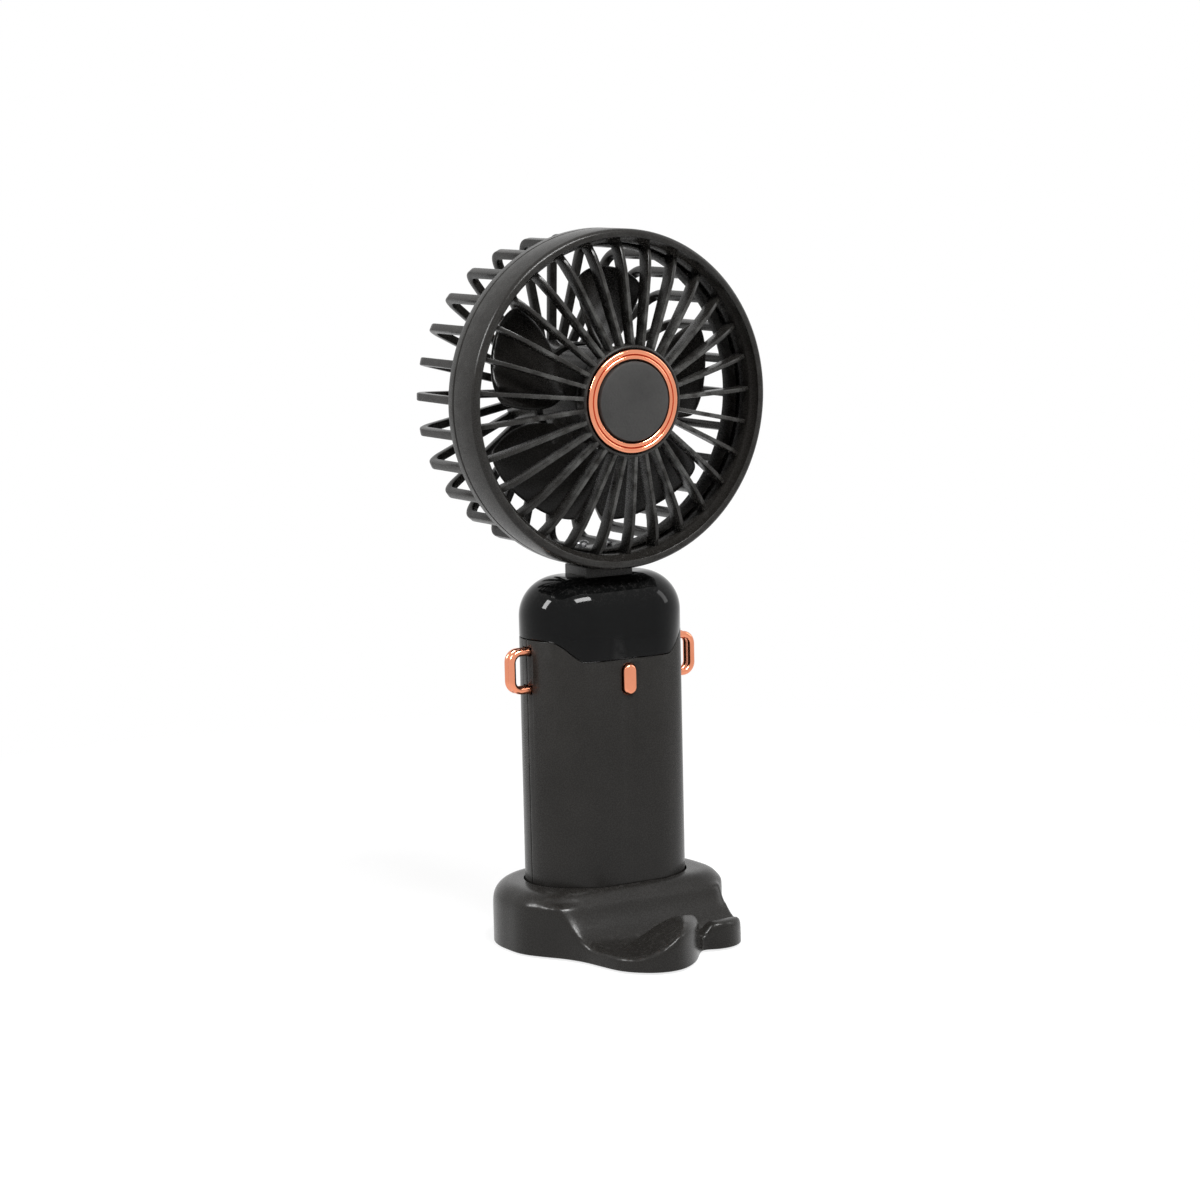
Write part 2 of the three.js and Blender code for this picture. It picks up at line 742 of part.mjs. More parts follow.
function rotorCan() {
  const outer = impellerHubRadius - impellerWall - touch;
  const back = impellerHubRear - 0.5;
  const inner = shaftRadius + bore;
  return turned([
    [inner, canFront], [outer, canFront], [outer, back], [outer - canWall, back],
    [outer - canWall, canFront + canWall], [inner, canFront + canWall],
  ]);
}

function magnetRing() {
  const outer = impellerHubRadius - impellerWall - touch - canWall - touch;
  const inner = outer - magnetThickness;
  return turned([[inner, statorLow], [outer, statorLow], [outer, statorHigh], [inner, statorHigh]]);
}

function motorShaft() {
  return rod('y', shaftRadius, hubBoreEnd + touch, baseBack - 0.4, {}, 16);
}

function shaftClip() {
  const [inner, outer] = [shaftRadius + bore, shaftRadius + 1.3];
  const back = baseBack - 0.6;
  return turned([[inner, back - 0.5], [outer, back - 0.5], [outer, back], [inner, back]], 24);
}

// A blade that starts inside the hub's wall. Its chord follows the turning circle, its leading
// edge is forward, and it flattens and widens towards a tip with round corners.
function blade(degrees) {
  const across = 8;
  const along = 5;
  const rootRadius = impellerHubRadius - impellerWall / 2;
  const rootPitch = 44;
  const tipPitch = 21;
  const rootHalfChord = 8;
  const middle = -3;
  const point = (i, j, side) => {
    const v = (2 * i) / across - 1;
    const u = j / along;
    const tip = impellerRadius - 3.5 * Math.abs(v) ** 4;
    const radius = rootRadius + (tip - rootRadius) * u;
    const grown = Math.sin((Math.PI / 2) * Math.min(1, u * 1.25));
    const half = rootHalfChord + (bladeHalfChord - rootHalfChord) * grown;
    const pitch = THREE.MathUtils.degToRad(rootPitch + (tipPitch - rootPitch) * u);
    const camber = 1.6 * (1 - v * v);
    const angle = THREE.MathUtils.degToRad(degrees) + (v * half * Math.cos(pitch)) / Math.max(radius, 20);
    const thin = bladeThickness * (1 - 0.45 * Math.abs(v) ** 3);
    const y = middle + v * half * Math.sin(pitch) + camber + (side * thin) / 2 / Math.cos(pitch);
    return [radius * Math.sin(angle), y, radius * Math.cos(angle)];
  };
  const positions = [];
  for (const side of [-1, 1]) {
    for (let j = 0; j <= along; j += 1) for (let i = 0; i <= across; i += 1) positions.push(...point(i, j, side));
  }
  const row = across + 1;
  const sheet = row * (along + 1);
  const index = [];
  const quad = (a, b, c, d) => index.push(a, b, c, a, c, d);
  for (let j = 0; j < along; j += 1) {
    for (let i = 0; i < across; i += 1) {
      const a = j * row + i;
      quad(a, a + 1, a + row + 1, a + row);
      quad(sheet + a, sheet + a + row, sheet + a + row + 1, sheet + a + 1);
    }
  }
  for (let i = 0; i < across; i += 1) {
    const top = along * row + i;
    quad(i, sheet + i, sheet + i + 1, i + 1);
    quad(top, top + 1, sheet + top + 1, sheet + top);
  }
  for (let j = 0; j < along; j += 1) {
    const left = j * row;
    const right = left + across;
    quad(left, left + row, sheet + left + row, sheet + left);
    quad(right, sheet + right, sheet + right + row, right + row);
  }
  const geometry = new THREE.BufferGeometry();
  geometry.setAttribute('position', new THREE.Float32BufferAttribute(positions, 3));
  geometry.setIndex(index);
  return solidOf(geometry);
}

function impeller() {
  const inner = impellerHubRadius - impellerWall;
  const front = -impellerHubFront;
  const bossRadius = shaftRadius + bore + 1.7;
  const hub = turned([
    [0, front], [impellerHubRadius - 1.2, front], [impellerHubRadius, front + 1.2],
    [impellerHubRadius, impellerHubRear], [inner, impellerHubRear], [inner, front + impellerWall],
    [bossRadius, front + impellerWall], [bossRadius, canFront - touch], [shaftRadius + bore, canFront - touch],
    [shaftRadius + bore, hubBoreEnd], [0, hubBoreEnd],
  ]);
  const blades = Array.from({ length: bladeCount }, (_, i) => blade(firstBlade + (i * 360) / bladeCount));
  return join(hub, ...blades);
}

// ---- Dock ----

const dockHalfWidth = handleWidth / 2 + dockMargin;
const dockRoundRadius = handleDepth / 2 + dockMargin;
const spread = dockHalfWidth / 35.35; // how far the ledge is stretched to the body's width
const [cornerX, cornerY] = [dockHalfWidth - cornerRadius, cornerRadius - frontFace];
const shellBottom = padThickness - padProud;
const plateBottom = padThickness + touch;
const plateTop = plateBottom + plateThickness;
const dockHeadHeight = 0.8;

// The body: a half stadium behind the handle's axis and two rounded corners in front.
function dockBodyOutline(inset) {
  const round = dockRoundRadius - inset;
  const corner = cornerRadius - inset;
  return [
    ...arc(cornerX, cornerY, corner, -90, 0, 6),
    ...arc(straightHalf, 0, round, 0, 90, 10),
    ...arc(-straightHalf, 0, round, 90, 180, 10),
    ...arc(-cornerX, cornerY, corner, 180, 270, 6),
  ];
}

// The ledge's edge from its left to its right: a place across, and how far it is ahead of the body.
const ledgeEdge = [
  [-30.6, -3.7], [-27.6, 1], [-25, 7.6], [-23.6, 15], [-21.9, 22.6], [-18.3, 28], [-13, 31.5],
  [-7.2, 31.8], [-1.9, 29.2], [3.2, 24.6], [8, 18.6], [11.4, 15.5], [15.8, 17.1], [20.6, 16.9],
  [25, 14.2], [28.2, 9.4], [29.9, 2.4],
];

// The whole foot: the body's round rear, and the ledge with its two lobes in front.
function dockOutline(inset) {
  const front = -frontFace;
  const corners = [
    ...arc(straightHalf, 0, dockRoundRadius, 0, 90, 4),
    ...arc(-straightHalf, 0, dockRoundRadius, 90, 180, 4),
    ...arc(-cornerX, cornerY, cornerRadius, 180, 205, 2),
    ...ledgeEdge.map(([x, ahead]) => [x * spread, front - ahead]),
    ...arc(cornerX, cornerY, cornerRadius, -35, 0, 2),
  ];
  const curve = new THREE.CatmullRomCurve3(corners.map(([x, y]) => new THREE.Vector3(x, y, 0)), true);
  const count = 72;
  const points = curve.getSpacedPoints(count).slice(0, count);
  return points.map((point, i) => {
    const before = points[(i + count - 1) % count];
    const after = points[(i + 1) % count];
    const along = after.clone().sub(before).normalize();
    return [point.x - along.y * inset, point.y + along.x * inset];
  });
}

// The ledge's top: a cove below the body's front face, a long lobe that climbs to the right
// and a low lobe beyond the notch.
function ledgeTop(placeX, y) {
  const x = placeX / spread;
  const ahead = -y - frontFace;
  const { smoothstep, clamp } = THREE.MathUtils;
  const pastCorner = Math.max(0, Math.abs(placeX) - dockHalfWidth + coveCorner);
  const clear = pastCorner > 0
    ? Math.hypot(pastCorner, Math.max(0, coveCorner + ahead)) - coveCorner
    : ahead;
  const hollow = (share) => 1 - Math.sqrt(1 - (share * coveBend) ** 2);
  const floor = ledgeFloor + (coveRise * hollow(clamp(1 - clear / coveReach, 0, 1))) / hollow(1);
  const climb = smoothstep(x, -21, 0) * (1 - smoothstep(x, 5, 10.5));
  const longLobe = 8 * climb * smoothstep(ahead, 13, 18.5);
  const lowLobe = 3.6 * smoothstep(x, 11.5, 15) * smoothstep(ahead, 9.5, 13.5);
  return floor + longLobe + lowLobe;
}

function ledge() {
  const step = 2.8;
  const [xLow, yLow] = [-dockHalfWidth - step, -frontFace - ledgeReach];
  const columns = Math.ceil((2 * dockHalfWidth) / step) + 2;
  const rows = Math.ceil((ledgeReach + cornerRadius) / step);
  const below = shellBottom - 2;
  const positions = [];
  for (const level of ['bottom', 'top']) {
    for (let j = 0; j <= rows; j += 1) {
      for (let i = 0; i <= columns; i += 1) {
        const [x, y] = [xLow + i * step, yLow + j * step];
        positions.push(x, y, level === 'top' ? ledgeTop(x, y) : below);
      }
    }
  }
  const row = columns + 1;
  const sheet = row * (rows + 1);
  const index = [];
  const quad = (a, b, c, d) => index.push(a, b, c, a, c, d);
  for (let j = 0; j < rows; j += 1) {
    for (let i = 0; i < columns; i += 1) {
      const a = j * row + i;
      quad(a, a + row, a + row + 1, a + 1);
      quad(sheet + a, sheet + a + 1, sheet + a + row + 1, sheet + a + row);
    }
  }
  for (let i = 0; i < columns; i += 1) {
    const far = rows * row + i;
    quad(i, i + 1, sheet + i + 1, sheet + i);
    quad(far + 1, far, sheet + far, sheet + far + 1);
  }
  for (let j = 0; j < rows; j += 1) {
    const left = j * row;
    const right = left + columns;
    quad(left + row, left, sheet + left, sheet + left + row);
    quad(right, right + row, sheet + right + row, sheet + right);
  }
  const geometry = new THREE.BufferGeometry();
  geometry.setAttribute('position', new THREE.Float32BufferAttribute(positions, 3));
  geometry.setIndex(index);
  const foot = loft(dockOutline, [[0, shellBottom], [0, dockRise]]);
  return foot.intersect(solidOf(geometry));
}

function dockScrewPlaces() {
  const side = dockHalfWidth - 5.5;
  return [[-side, 0], [side, 0], [-3 * spread, -frontFace - 22], [20.5 * spread, -frontFace - 11]];
}

function dockShell() {
  const body = loft(dockBodyOutline, [
    [0, shellBottom], [0, dockRise - dockEdgeRadius], ...upperEdge(dockEdgeRadius, dockRise, 5),
  ]);
  const socket = loft((inset) => stadium(handleWidth + 2 * slip, handleDepth + 2 * slip).map(([x, y]) => {
    return [x * (1 - inset), y * (1 - inset)];
  }), [[0, socketFloor], [0, 2 * dockRise]]);
  const platePocket = loft(dockOutline, [[dockWall, -1], [dockWall, plateTop + touch]]);
  const weightPocket = loft(() => weightOutline(touch), [
    [0, 0], [0, plateTop + touch + weightThickness + touch],
  ]);
  const screwHoles = dockScrewPlaces().map(([x, y]) => rod('z', screwShank + bore, 0, socketFloor - 0.6, { x, y }, 12));
  return cut(join(body, ledge()), socket, platePocket, weightPocket, ...screwHoles);
}

function dockPlate() {
  const plate = loft(dockOutline, [[dockWall + touch, plateBottom], [dockWall + touch, plateTop]]);
  const holes = dockScrewPlaces().map(([x, y]) => join(
    rod('z', screwShank + bore, 0, plateTop + 1, { x, y }, 12),
    rod('z', screwHead + bore, 0, plateBottom + dockHeadHeight + touch, { x, y }, 16),
  ));
  return cut(plate, ...holes);
}

function weightOutline(grow) {
  const inset = weightInset - grow;
  return stadium(handleWidth + 2 * slip - 2 * inset, handleDepth + 2 * slip - 2 * inset);
}

function dockWeight() {
  const low = plateTop + touch;
  return loft(() => weightOutline(0), [[0, low], [0, low + weightThickness]]);
}

function dockPad() {
  return loft(dockOutline, [[dockWall + touch, 0], [dockWall + touch, padThickness]]);
}

// ---- Materials ----

function finish(color, roughness, metalness = 0) {
  return () => new THREE.MeshStandardMaterial({ color, roughness, metalness });
}

const satinBlack = finish(0x1b1b1a, 0.5);
const glossBlack = finish(0x0b0b0c, 0.12);
const badgeBlack = finish(0x1d1d1d, 0.7);
const roseGold = finish(0xc9805c, 0.25, 1);
const steel = finish(0x9b9da0, 0.35, 1);
const copper = finish(0xb87333, 0.35, 1);
const magnetGrey = finish(0x3a3a3c, 0.6, 0.6);
const boardGreen = finish(0x1f5b38, 0.5);
const cellWrap = finish(0x2f5fa8, 0.4);
const rubber = finish(0x161616, 0.85);

// ---- Assembly ----

const fan = new THREE.Group();

function add(name, solid, material, parent = fan) {
  const mesh = new THREE.Mesh(geometryOf(solid), material());
  mesh.name = name;
  parent.add(mesh);
  return mesh;
}

add('dock_shell', dockShell(), satinBlack);
add('dock_plate', dockPlate(), satinBlack);
add('dock_weight', dockWeight(), steel);
add('dock_pad', dockPad(), rubber);
dockScrewPlaces().forEach(([x, y], i) => {
  const dockScrew = add(`dock_screw_${i + 1}`, screw(4, 'z', dockHeadHeight), steel);
  dockScrew.position.set(x, y, plateBottom + dockHeadHeight);
});

add('front_shell', frontShell(), satinBlack);
add('rear_shell', rearShell(), satinBlack);
add('top_cap', topCap(), glossBlack);
add('battery_cell', batteryCell(), cellWrap);
add('main_board', mainBoard(), boardGreen);
add('power_switch', powerSwitch(), steel);
add('power_button', powerButton(), roseGold);
add('charge_board', chargeBoard(), boardGreen);
add('usb_socket', usbSocket(), steel);
for (const [side, turn] of [['right', 0], ['left', Math.PI]]) {
  const loop = add(`lanyard_loop_${side}`, lanyardLoop(), roseGold);
  loop.rotation.z = turn;
  loop.position.z = loopLevel;
}
[-screwX, screwX].forEach((x, column) => {
  [lowScrewLevel, highScrewLevel].forEach((z, row) => {
    const shellScrew = add(`shell_screw_${2 * column + row + 1}`, screw(19), steel);
    shellScrew.rotation.z = Math.PI;
    shellScrew.position.set(x, headSeat + touch, z);
  });
});

const hinge = new THREE.Group();
hinge.position.z = pivotLevel;
fan.add(hinge);
add('hinge_bracket', hingeBracket(), steel);
add('hinge_pin', hingePin(), steel, hinge);
add('friction_washer_left', frictionWasher(-1), rubber, hinge);
add('friction_washer_right', frictionWasher(1), rubber, hinge);
add('neck_arm', neckArm(), satinBlack, hinge);

const head = new THREE.Group();
head.position.z = headReach;
hinge.add(head);
add('front_grille', frontGrille(), satinBlack, head);
add('hub_trim_ring', hubTrimRing(), roseGold, head);
add('hub_badge', hubBadge(), badgeBlack, head);
add('rear_cage', rearCage(), satinBlack, head);
add('rear_hub_cover', rearHubCover(), satinBlack, head);
add('impeller', impeller(), satinBlack, head);
add('rotor_can', rotorCan(), steel, head);
add('magnet_ring', magnetRing(), magnetGrey, head);
add('motor_shaft', motorShaft(), steel, head);
add('shaft_clip', shaftClip(), steel, head);
add('motor_base', motorBase(), steel, head);
add('motor_board', motorBoard(), boardGreen, head);
add('stator_core', statorCore(), steel, head);
add('front_bearing', bearing(statorLow - 2.2), steel, head);
add('rear_bearing', bearing(baseFront - 2.4), steel, head);
for (let i = 0; i < poleCount; i += 1) {
  const coil = add(`stator_coil_${i + 1}`, statorCoil(), copper, head);
  coil.rotation.y = -(i * 2 * Math.PI) / poleCount;
}
motorScrewPlaces().forEach(([x, z], i) => {
  const motorScrew = add(`motor_screw_${i + 1}`, screw(4), steel, head);
  motorScrew.rotation.x = Math.PI;
  motorScrew.position.set(x, rearHubFront + 2 + touch, z);
});
for (const [side, x] of [['left', -neckScrewX], ['right', neckScrewX]]) {
  const seat = -Math.sqrt(bossInner ** 2 - (neckScrewX + screwHead) ** 2) + touch;
  const neckScrew = add(`neck_screw_${side}`, screw(12, 'z'), steel, head);
  neckScrew.rotation.x = Math.PI;
  neckScrew.position.set(x, neckScrewY, seat);
}

export default fan;
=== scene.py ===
"""Looks of the desk fan: a caged head that tilts on a flat handle, standing in a dock with a phone ledge.
Metres, +Z up, front towards -Y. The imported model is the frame, and places come from it."""

import math

import bmesh
import bpy
from mathutils import Matrix, Quaternion, Vector


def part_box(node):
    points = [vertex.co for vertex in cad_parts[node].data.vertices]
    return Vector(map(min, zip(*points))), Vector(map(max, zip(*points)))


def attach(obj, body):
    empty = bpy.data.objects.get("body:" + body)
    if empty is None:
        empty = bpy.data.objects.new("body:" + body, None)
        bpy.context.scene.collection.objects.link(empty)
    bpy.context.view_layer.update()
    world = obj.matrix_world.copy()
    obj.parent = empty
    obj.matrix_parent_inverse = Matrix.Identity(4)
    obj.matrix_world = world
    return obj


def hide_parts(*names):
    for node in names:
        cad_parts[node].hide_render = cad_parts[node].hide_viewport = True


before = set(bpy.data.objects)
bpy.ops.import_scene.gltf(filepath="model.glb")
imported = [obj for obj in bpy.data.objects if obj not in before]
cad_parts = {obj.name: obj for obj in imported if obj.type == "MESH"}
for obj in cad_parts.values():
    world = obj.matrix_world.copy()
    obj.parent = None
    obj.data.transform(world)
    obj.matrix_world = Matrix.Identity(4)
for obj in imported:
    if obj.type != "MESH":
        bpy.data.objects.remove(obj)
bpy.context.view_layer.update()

# ---- Places from the frame ----
grille_low, grille_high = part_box("front_grille")
cage_low, cage_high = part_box("rear_cage")
shell_low, shell_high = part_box("front_shell")
cap_low, cap_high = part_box("top_cap")
dock_low, dock_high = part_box("dock_shell")
button_low, button_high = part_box("power_button")
loop_low, loop_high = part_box("lanyard_loop_right")
neck_low, neck_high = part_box("neck_arm")
pin_low, pin_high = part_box("hinge_pin")
impeller_low, impeller_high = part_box("impeller")
usb_low, usb_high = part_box("usb_socket")
badge_low, badge_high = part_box("hub_badge")
trim_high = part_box("hub_trim_ring")[1]
cover_low, cover_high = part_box("rear_hub_cover")

fan_axis = Vector((0, 0, (grille_low.z + grille_high.z) / 2))
rim_radius = (grille_high.x - grille_low.x) / 2
hub_front = grille_low.y
split_front = grille_high.y
cage_back = cage_high.y
handle_half_width = cap_high.x
handle_half_depth = -cap_low.y
handle_bottom = shell_low.z
handle_top = cap_high.z
side_level = shell_high.z
cap_edge_low = cap_low.z
pin_level = (pin_low.z + pin_high.z) / 2

# ---- Sizes of the head ----
RIM_DEPTH = 0.016
RIM_INNER = 0.046
LIP_INNER = 0.0476
SPOKES = 29
SPOKE_THICKNESS = 0.0012
FIRST_SPOKE = math.radians(2.6)
HUB_RADIUS = 0.0165
HUB_RECESS = 0.0031
RIBS = 28
RIB_WIDTH = 0.0024
RIB_THICKNESS = 0.0026
RIB_OUTER = 0.0476
FIRST_RIB = math.radians(181.9)
RIB_CORNER = 0.0055
REAR_HUB_RADIUS = 0.0158
REAR_HUB_FRONT = 0.009
REAR_HUB_WALL = 0.0018
BAND_INNER = 0.0449
BAND_FRONT = -0.00385
BLADES = 5
FIRST_BLADE = math.radians(7)
BLADE_TIP = 0.039
BLADE_THICKNESS = 0.0014
IMPELLER_HUB = 0.015
IMPELLER_WALL = 0.0014

# ---- Sizes of the handle ----
HANDLE_WALL = 0.002
CAP_ROUND = 0.012
FOOT_ROUND = 0.003
TONGUE_HALF_WIDTH = 0.014
SHOULDER_HALF_WIDTH = 0.0234
SEAM_GAP = 0.0003
SLOT_HALF_WIDTH = 0.0085
SLOT_FRONT = -0.007
SCREW_X = 0.0165
SCREW_HEAD_BORE = 0.0024
SCREW_SEAT = 0.011
SCREW_LEVELS = (0.0162, 0.076)
SCREW_BOSS = 0.003
COLUMN_WIDTH = 0.002
KEY_RADIUS = 0.0022
KEY_STRAIGHT = 0.00235
KEY_HOLE = 0.00255
KEY_FLANGE = 0.0032
KEY_FLANGE_THICKNESS = 0.0008
INLET_RADIUS = 0.00195
INLET_STRAIGHT = 0.00285
PIN_BORE = 0.00235
SHELL_EDGE = 0.00022
NOTCH_GAP = 0.0002
LOOP_BAR = 0.0022
LOOP_CORNER = 0.004

# ---- Sizes of the dock ----
DOCK_REAR_ROUND = 0.02615
DOCK_CORNER = 0.0162
DOCK_EDGE = 0.006
FRONT_FACE = 0.0213
LEDGE_FLOOR = 0.0046
COVE_REACH = 0.013
COVE_RISE = 0.011
COVE_BEND = 0.8
COVE_CORNER = 0.012
SOCKET_CLEARANCE = 0.0005
SOCKET_FLOOR = 0.0074
DOCK_VOXEL = 0.0006
SMOOTHING = 26
BELOW = -0.006
LONG_LOBE_TOP = 0.0084
LOW_LOBE_TOP = 0.0042
PLATE_INSET = 0.002
PLATE_TOP = 0.0034
WEIGHT_HALF_WIDTH = 0.02345
WEIGHT_HALF_DEPTH = 0.01425
WEIGHT_TOP = 0.0064

TINY = 1e-5
SHARP = math.radians(38)
BLUNT = math.radians(50)


# ---- Working in object and edit mode ----


def only(*pieces):
    """Selects these pieces and nothing else; the first is the active one."""
    bpy.ops.object.select_all(action="DESELECT")
    for piece in pieces:
        piece.select_set(True)
    bpy.context.view_layer.objects.active = pieces[0]


def settle(name):
    """Names the primitive just added and puts its place into its mesh."""
    piece = bpy.context.object
    piece.name = name
    piece.data.name = name
    bpy.ops.object.transform_apply(location=True, rotation=True, scale=True)
    return piece


def edit():
    bpy.ops.object.mode_set(mode="EDIT")


def leave_edit():
    bpy.ops.object.mode_set(mode="OBJECT")


def pick(kind, test):
    """In edit mode, selects the VERT, EDGE or FACE items that pass the test, and returns how many.
    The test is given a vertex's place, an edge's two ends, or a face's middle and normal."""
    bpy.ops.mesh.select_mode(type=kind)
    bpy.ops.mesh.select_all(action="DESELECT")
    mesh = bmesh.from_edit_mesh(bpy.context.object.data)
    if kind == "VERT":
        found = [v for v in mesh.verts if test(v.co)]
    elif kind == "EDGE":
        found = [e for e in mesh.edges if test(e.verts[0].co, e.verts[1].co)]
    else:
        found = [f for f in mesh.faces if test(f.calc_center_median(), f.normal)]
    for item in found:
        item.select_set(True)
    bmesh.update_edit_mesh(bpy.context.object.data)
    return len(found)


def extrude(offset):
    bpy.ops.mesh.extrude_region_move(TRANSFORM_OT_translate={"value": offset})


def weld():
    """Closes doubles and points every face outwards."""
    bpy.ops.mesh.select_all(action="SELECT")
    bpy.ops.mesh.remove_doubles(threshold=TINY)
    bpy.ops.mesh.normals_make_consistent(inside=False)


def bisect(point, normal, clear_outer=False, fill=False):
    bpy.ops.mesh.select_all(action="SELECT")
    bpy.ops.mesh.bisect(
        plane_co=point, plane_no=normal, clear_outer=clear_outer, use_fill=fill
    )


def apply_modifier(piece, kind, **settings):
    only(piece)
    modifier = piece.modifiers.new(kind.title(), kind)
    for key, value in settings.items():
        setattr(modifier, key, value)
    bpy.ops.object.modifier_apply(modifier=modifier.name)


def soften(piece, width, segments=3, angle=SHARP):
    """Rounds every edge that is sharper than the angle."""
    apply_modifier(
        piece,
        "BEVEL",
        width=width,
        segments=segments,
        limit_method="ANGLE",
        angle_limit=angle,
        use_clamp_overlap=True,
        miter_outer="MITER_ARC",
    )


def smooth(piece, angle=SHARP):
    only(piece)
    bpy.ops.object.shade_smooth_by_angle(angle=angle)


def combine(piece, tool, operation):
    """Joins, cuts or intersects the piece with a tool, which is used up."""
    apply_modifier(
        piece, "BOOLEAN", operation=operation, object=tool, solver="EXACT"
    )
    bpy.data.objects.remove(tool)


def join(name, pieces):
    only(*pieces)
    bpy.ops.object.join()
    whole = bpy.context.object
    whole.name = name
    whole.data.name = name
    return whole


def copy_of(piece, name, placed):
    """A copy with a mesh of its own, moved or turned by a matrix."""
    twin = piece.copy()
    twin.data = piece.data.copy()
    twin.name = name
    twin.data.name = name
    twin.data.transform(placed)
    bpy.context.scene.collection.objects.link(twin)
    return twin


def turn_about(centre, axis, angle):
    return Matrix.Translation(centre) @ Matrix.Rotation(angle, 4, axis) @ Matrix.Translation(-centre)


# ---- Shapes that several pieces start from ----


def ramp(x, start, end):
    """0 before the start, 1 past the end and a soft climb between them."""
    share = min(max((x - start) / (end - start), 0), 1)
    return share * share * (3 - 2 * share)


def arc(centre_a, centre_b, radius, start, end, steps):
    """Points of an arc, from start to end in degrees."""
    angles = [math.radians(start + (end - start) * i / steps) for i in range(steps + 1)]
    return [(centre_a + radius * math.cos(t), centre_b + radius * math.sin(t)) for t in angles]


def turned(name, profile, centre=fan_axis, sides=128, closed=False):
    """A piece drawn ring by ring about the fan's axis: each point is a radius and a place along the axis."""
    radius, place = profile[0]
    bpy.ops.mesh.primitive_circle_add(
        vertices=sides,
        radius=radius,
        fill_type="NOTHING",
        location=centre + Vector((0, place, 0)),
        rotation=(math.pi / 2, 0, 0),
    )
    piece = settle(name)
    edit()
    bpy.ops.mesh.select_all(action="SELECT")
    if not closed:
        bpy.ops.mesh.edge_face_add()
        bpy.ops.mesh.select_all(action="SELECT")
    for next_radius, next_place in profile[1:] + (profile[:1] if closed else []):
        if closed:
            bpy.ops.mesh.extrude_edges_move(
                TRANSFORM_OT_translate={"value": (0, next_place - place, 0)}
            )
        else:
            extrude((0, next_place - place, 0))
        share = next_radius / radius
        middle = centre + Vector((0, next_place, 0))
        bpy.ops.transform.resize(value=(share, 1, share), center_override=middle)
        radius, place = next_radius, next_place
    weld()
    leave_edit()
    return piece


def stadium(name, half_width, radius, low, high, sides=128):
    """An upright bar with a flat front and rear and round ends."""
    bpy.ops.mesh.primitive_cylinder_add(
        vertices=sides,
        radius=radius,
        depth=high - low,
        location=(0, 0, (low + high) / 2),
    )
    bar = settle(name)
    shift = half_width - radius
    edit()
    pick("VERT", lambda p: p.x > TINY)
    bpy.ops.transform.translate(value=(shift, 0, 0))
    pick("VERT", lambda p: p.x < -TINY)
    bpy.ops.transform.translate(value=(-shift, 0, 0))
    leave_edit()
    return bar


def round_level_edges(piece, level, radius, segments):
    """Rounds the outline that lies at one level."""
    only(piece)
    edit()
    pick("EDGE", lambda a, b: abs(a.z - level) < TINY and abs(b.z - level) < TINY)
    bpy.ops.mesh.bevel(offset=radius, segments=segments, affect="EDGES", clamp_overlap=False)
    leave_edit()


def drawn_bar(name, thickness, stations):
    """A flat bar that stands at the top of the fan, drawn outwards.
    Each station is a radius, a front and a back."""
    radius, front, back = stations[0]
    start = 0.0002
    bpy.ops.mesh.primitive_cube_add(
        size=1,
        location=fan_axis + Vector((0, (front + back) / 2, radius + start / 2)),
        scale=(thickness, back - front, start),
    )
    bar = settle(name)
    edit()
    top = fan_axis.z + radius + start
    for next_radius, next_front, next_back in stations[1:]:
        pick("FACE", lambda p, n: n.z > 0.5 and abs(p.z - top) < TINY)
        level = fan_axis.z + next_radius
        middle = (next_front + next_back) / 2
        extrude((0, middle - (front + back) / 2, level - top))
        share = (next_back - next_front) / (back - front)
        bpy.ops.transform.resize(value=(1, share, 1), center_override=(0, middle, level))
        front, back, top = next_front, next_back, level
    weld()
    leave_edit()
    return bar


# ---- Effects that several finishes share ----


def node(tree, kind, inputs=None, **settings):
    """Adds a node; each input is a plain value or the socket that feeds it."""
    made = tree.nodes.new(kind)
    for key, value in settings.items():
        setattr(made, key, value)
    for key, value in (inputs or {}).items():
        if isinstance(value, bpy.types.NodeSocket):
            tree.links.new(value, made.inputs[key])
        else:
            made.inputs[key].default_value = value
    return made


def new_group(name, inputs, outputs):
    """A shader node group with named sockets, each given as its type and default."""
    group = bpy.data.node_groups.new(name, "ShaderNodeTree")
    for key, (kind, value) in inputs.items():
        socket = group.interface.new_socket(name=key, in_out="INPUT", socket_type=kind)
        socket.default_value = value
    for key, kind in outputs.items():
        group.interface.new_socket(name=key, in_out="OUTPUT", socket_type=kind)
    return group, group.nodes.new("NodeGroupInput"), group.nodes.new("NodeGroupOutput")


def object_place(tree):
    """The place on the object, in metres."""
    return tree.nodes.new("ShaderNodeTexCoord").outputs["Object"]


def noise(tree, scale, detail, roughness=0.5):
    """Soft noise over the object."""
    inputs = {"Vector": object_place(tree), "Scale": scale, "Detail": detail, "Roughness": roughness}
    return node(tree, "ShaderNodeTexNoise", inputs).outputs["Fac"]


def spread(tree, value, low, high, to_low=0.0, to_high=1.0):
    """What lies from low to high, spread over another range."""
    ends = {"From Min": low, "From Max": high, "To Min": to_low, "To Max": to_high}
    return node(tree, "ShaderNodeMapRange", {"Value": value, **ends}).outputs[0]


def worked_out(tree, operation, first, second):
    """One sum on two values or sockets."""
    return node(tree, "ShaderNodeMath", {0: first, 1: second}, operation=operation).outputs[0]


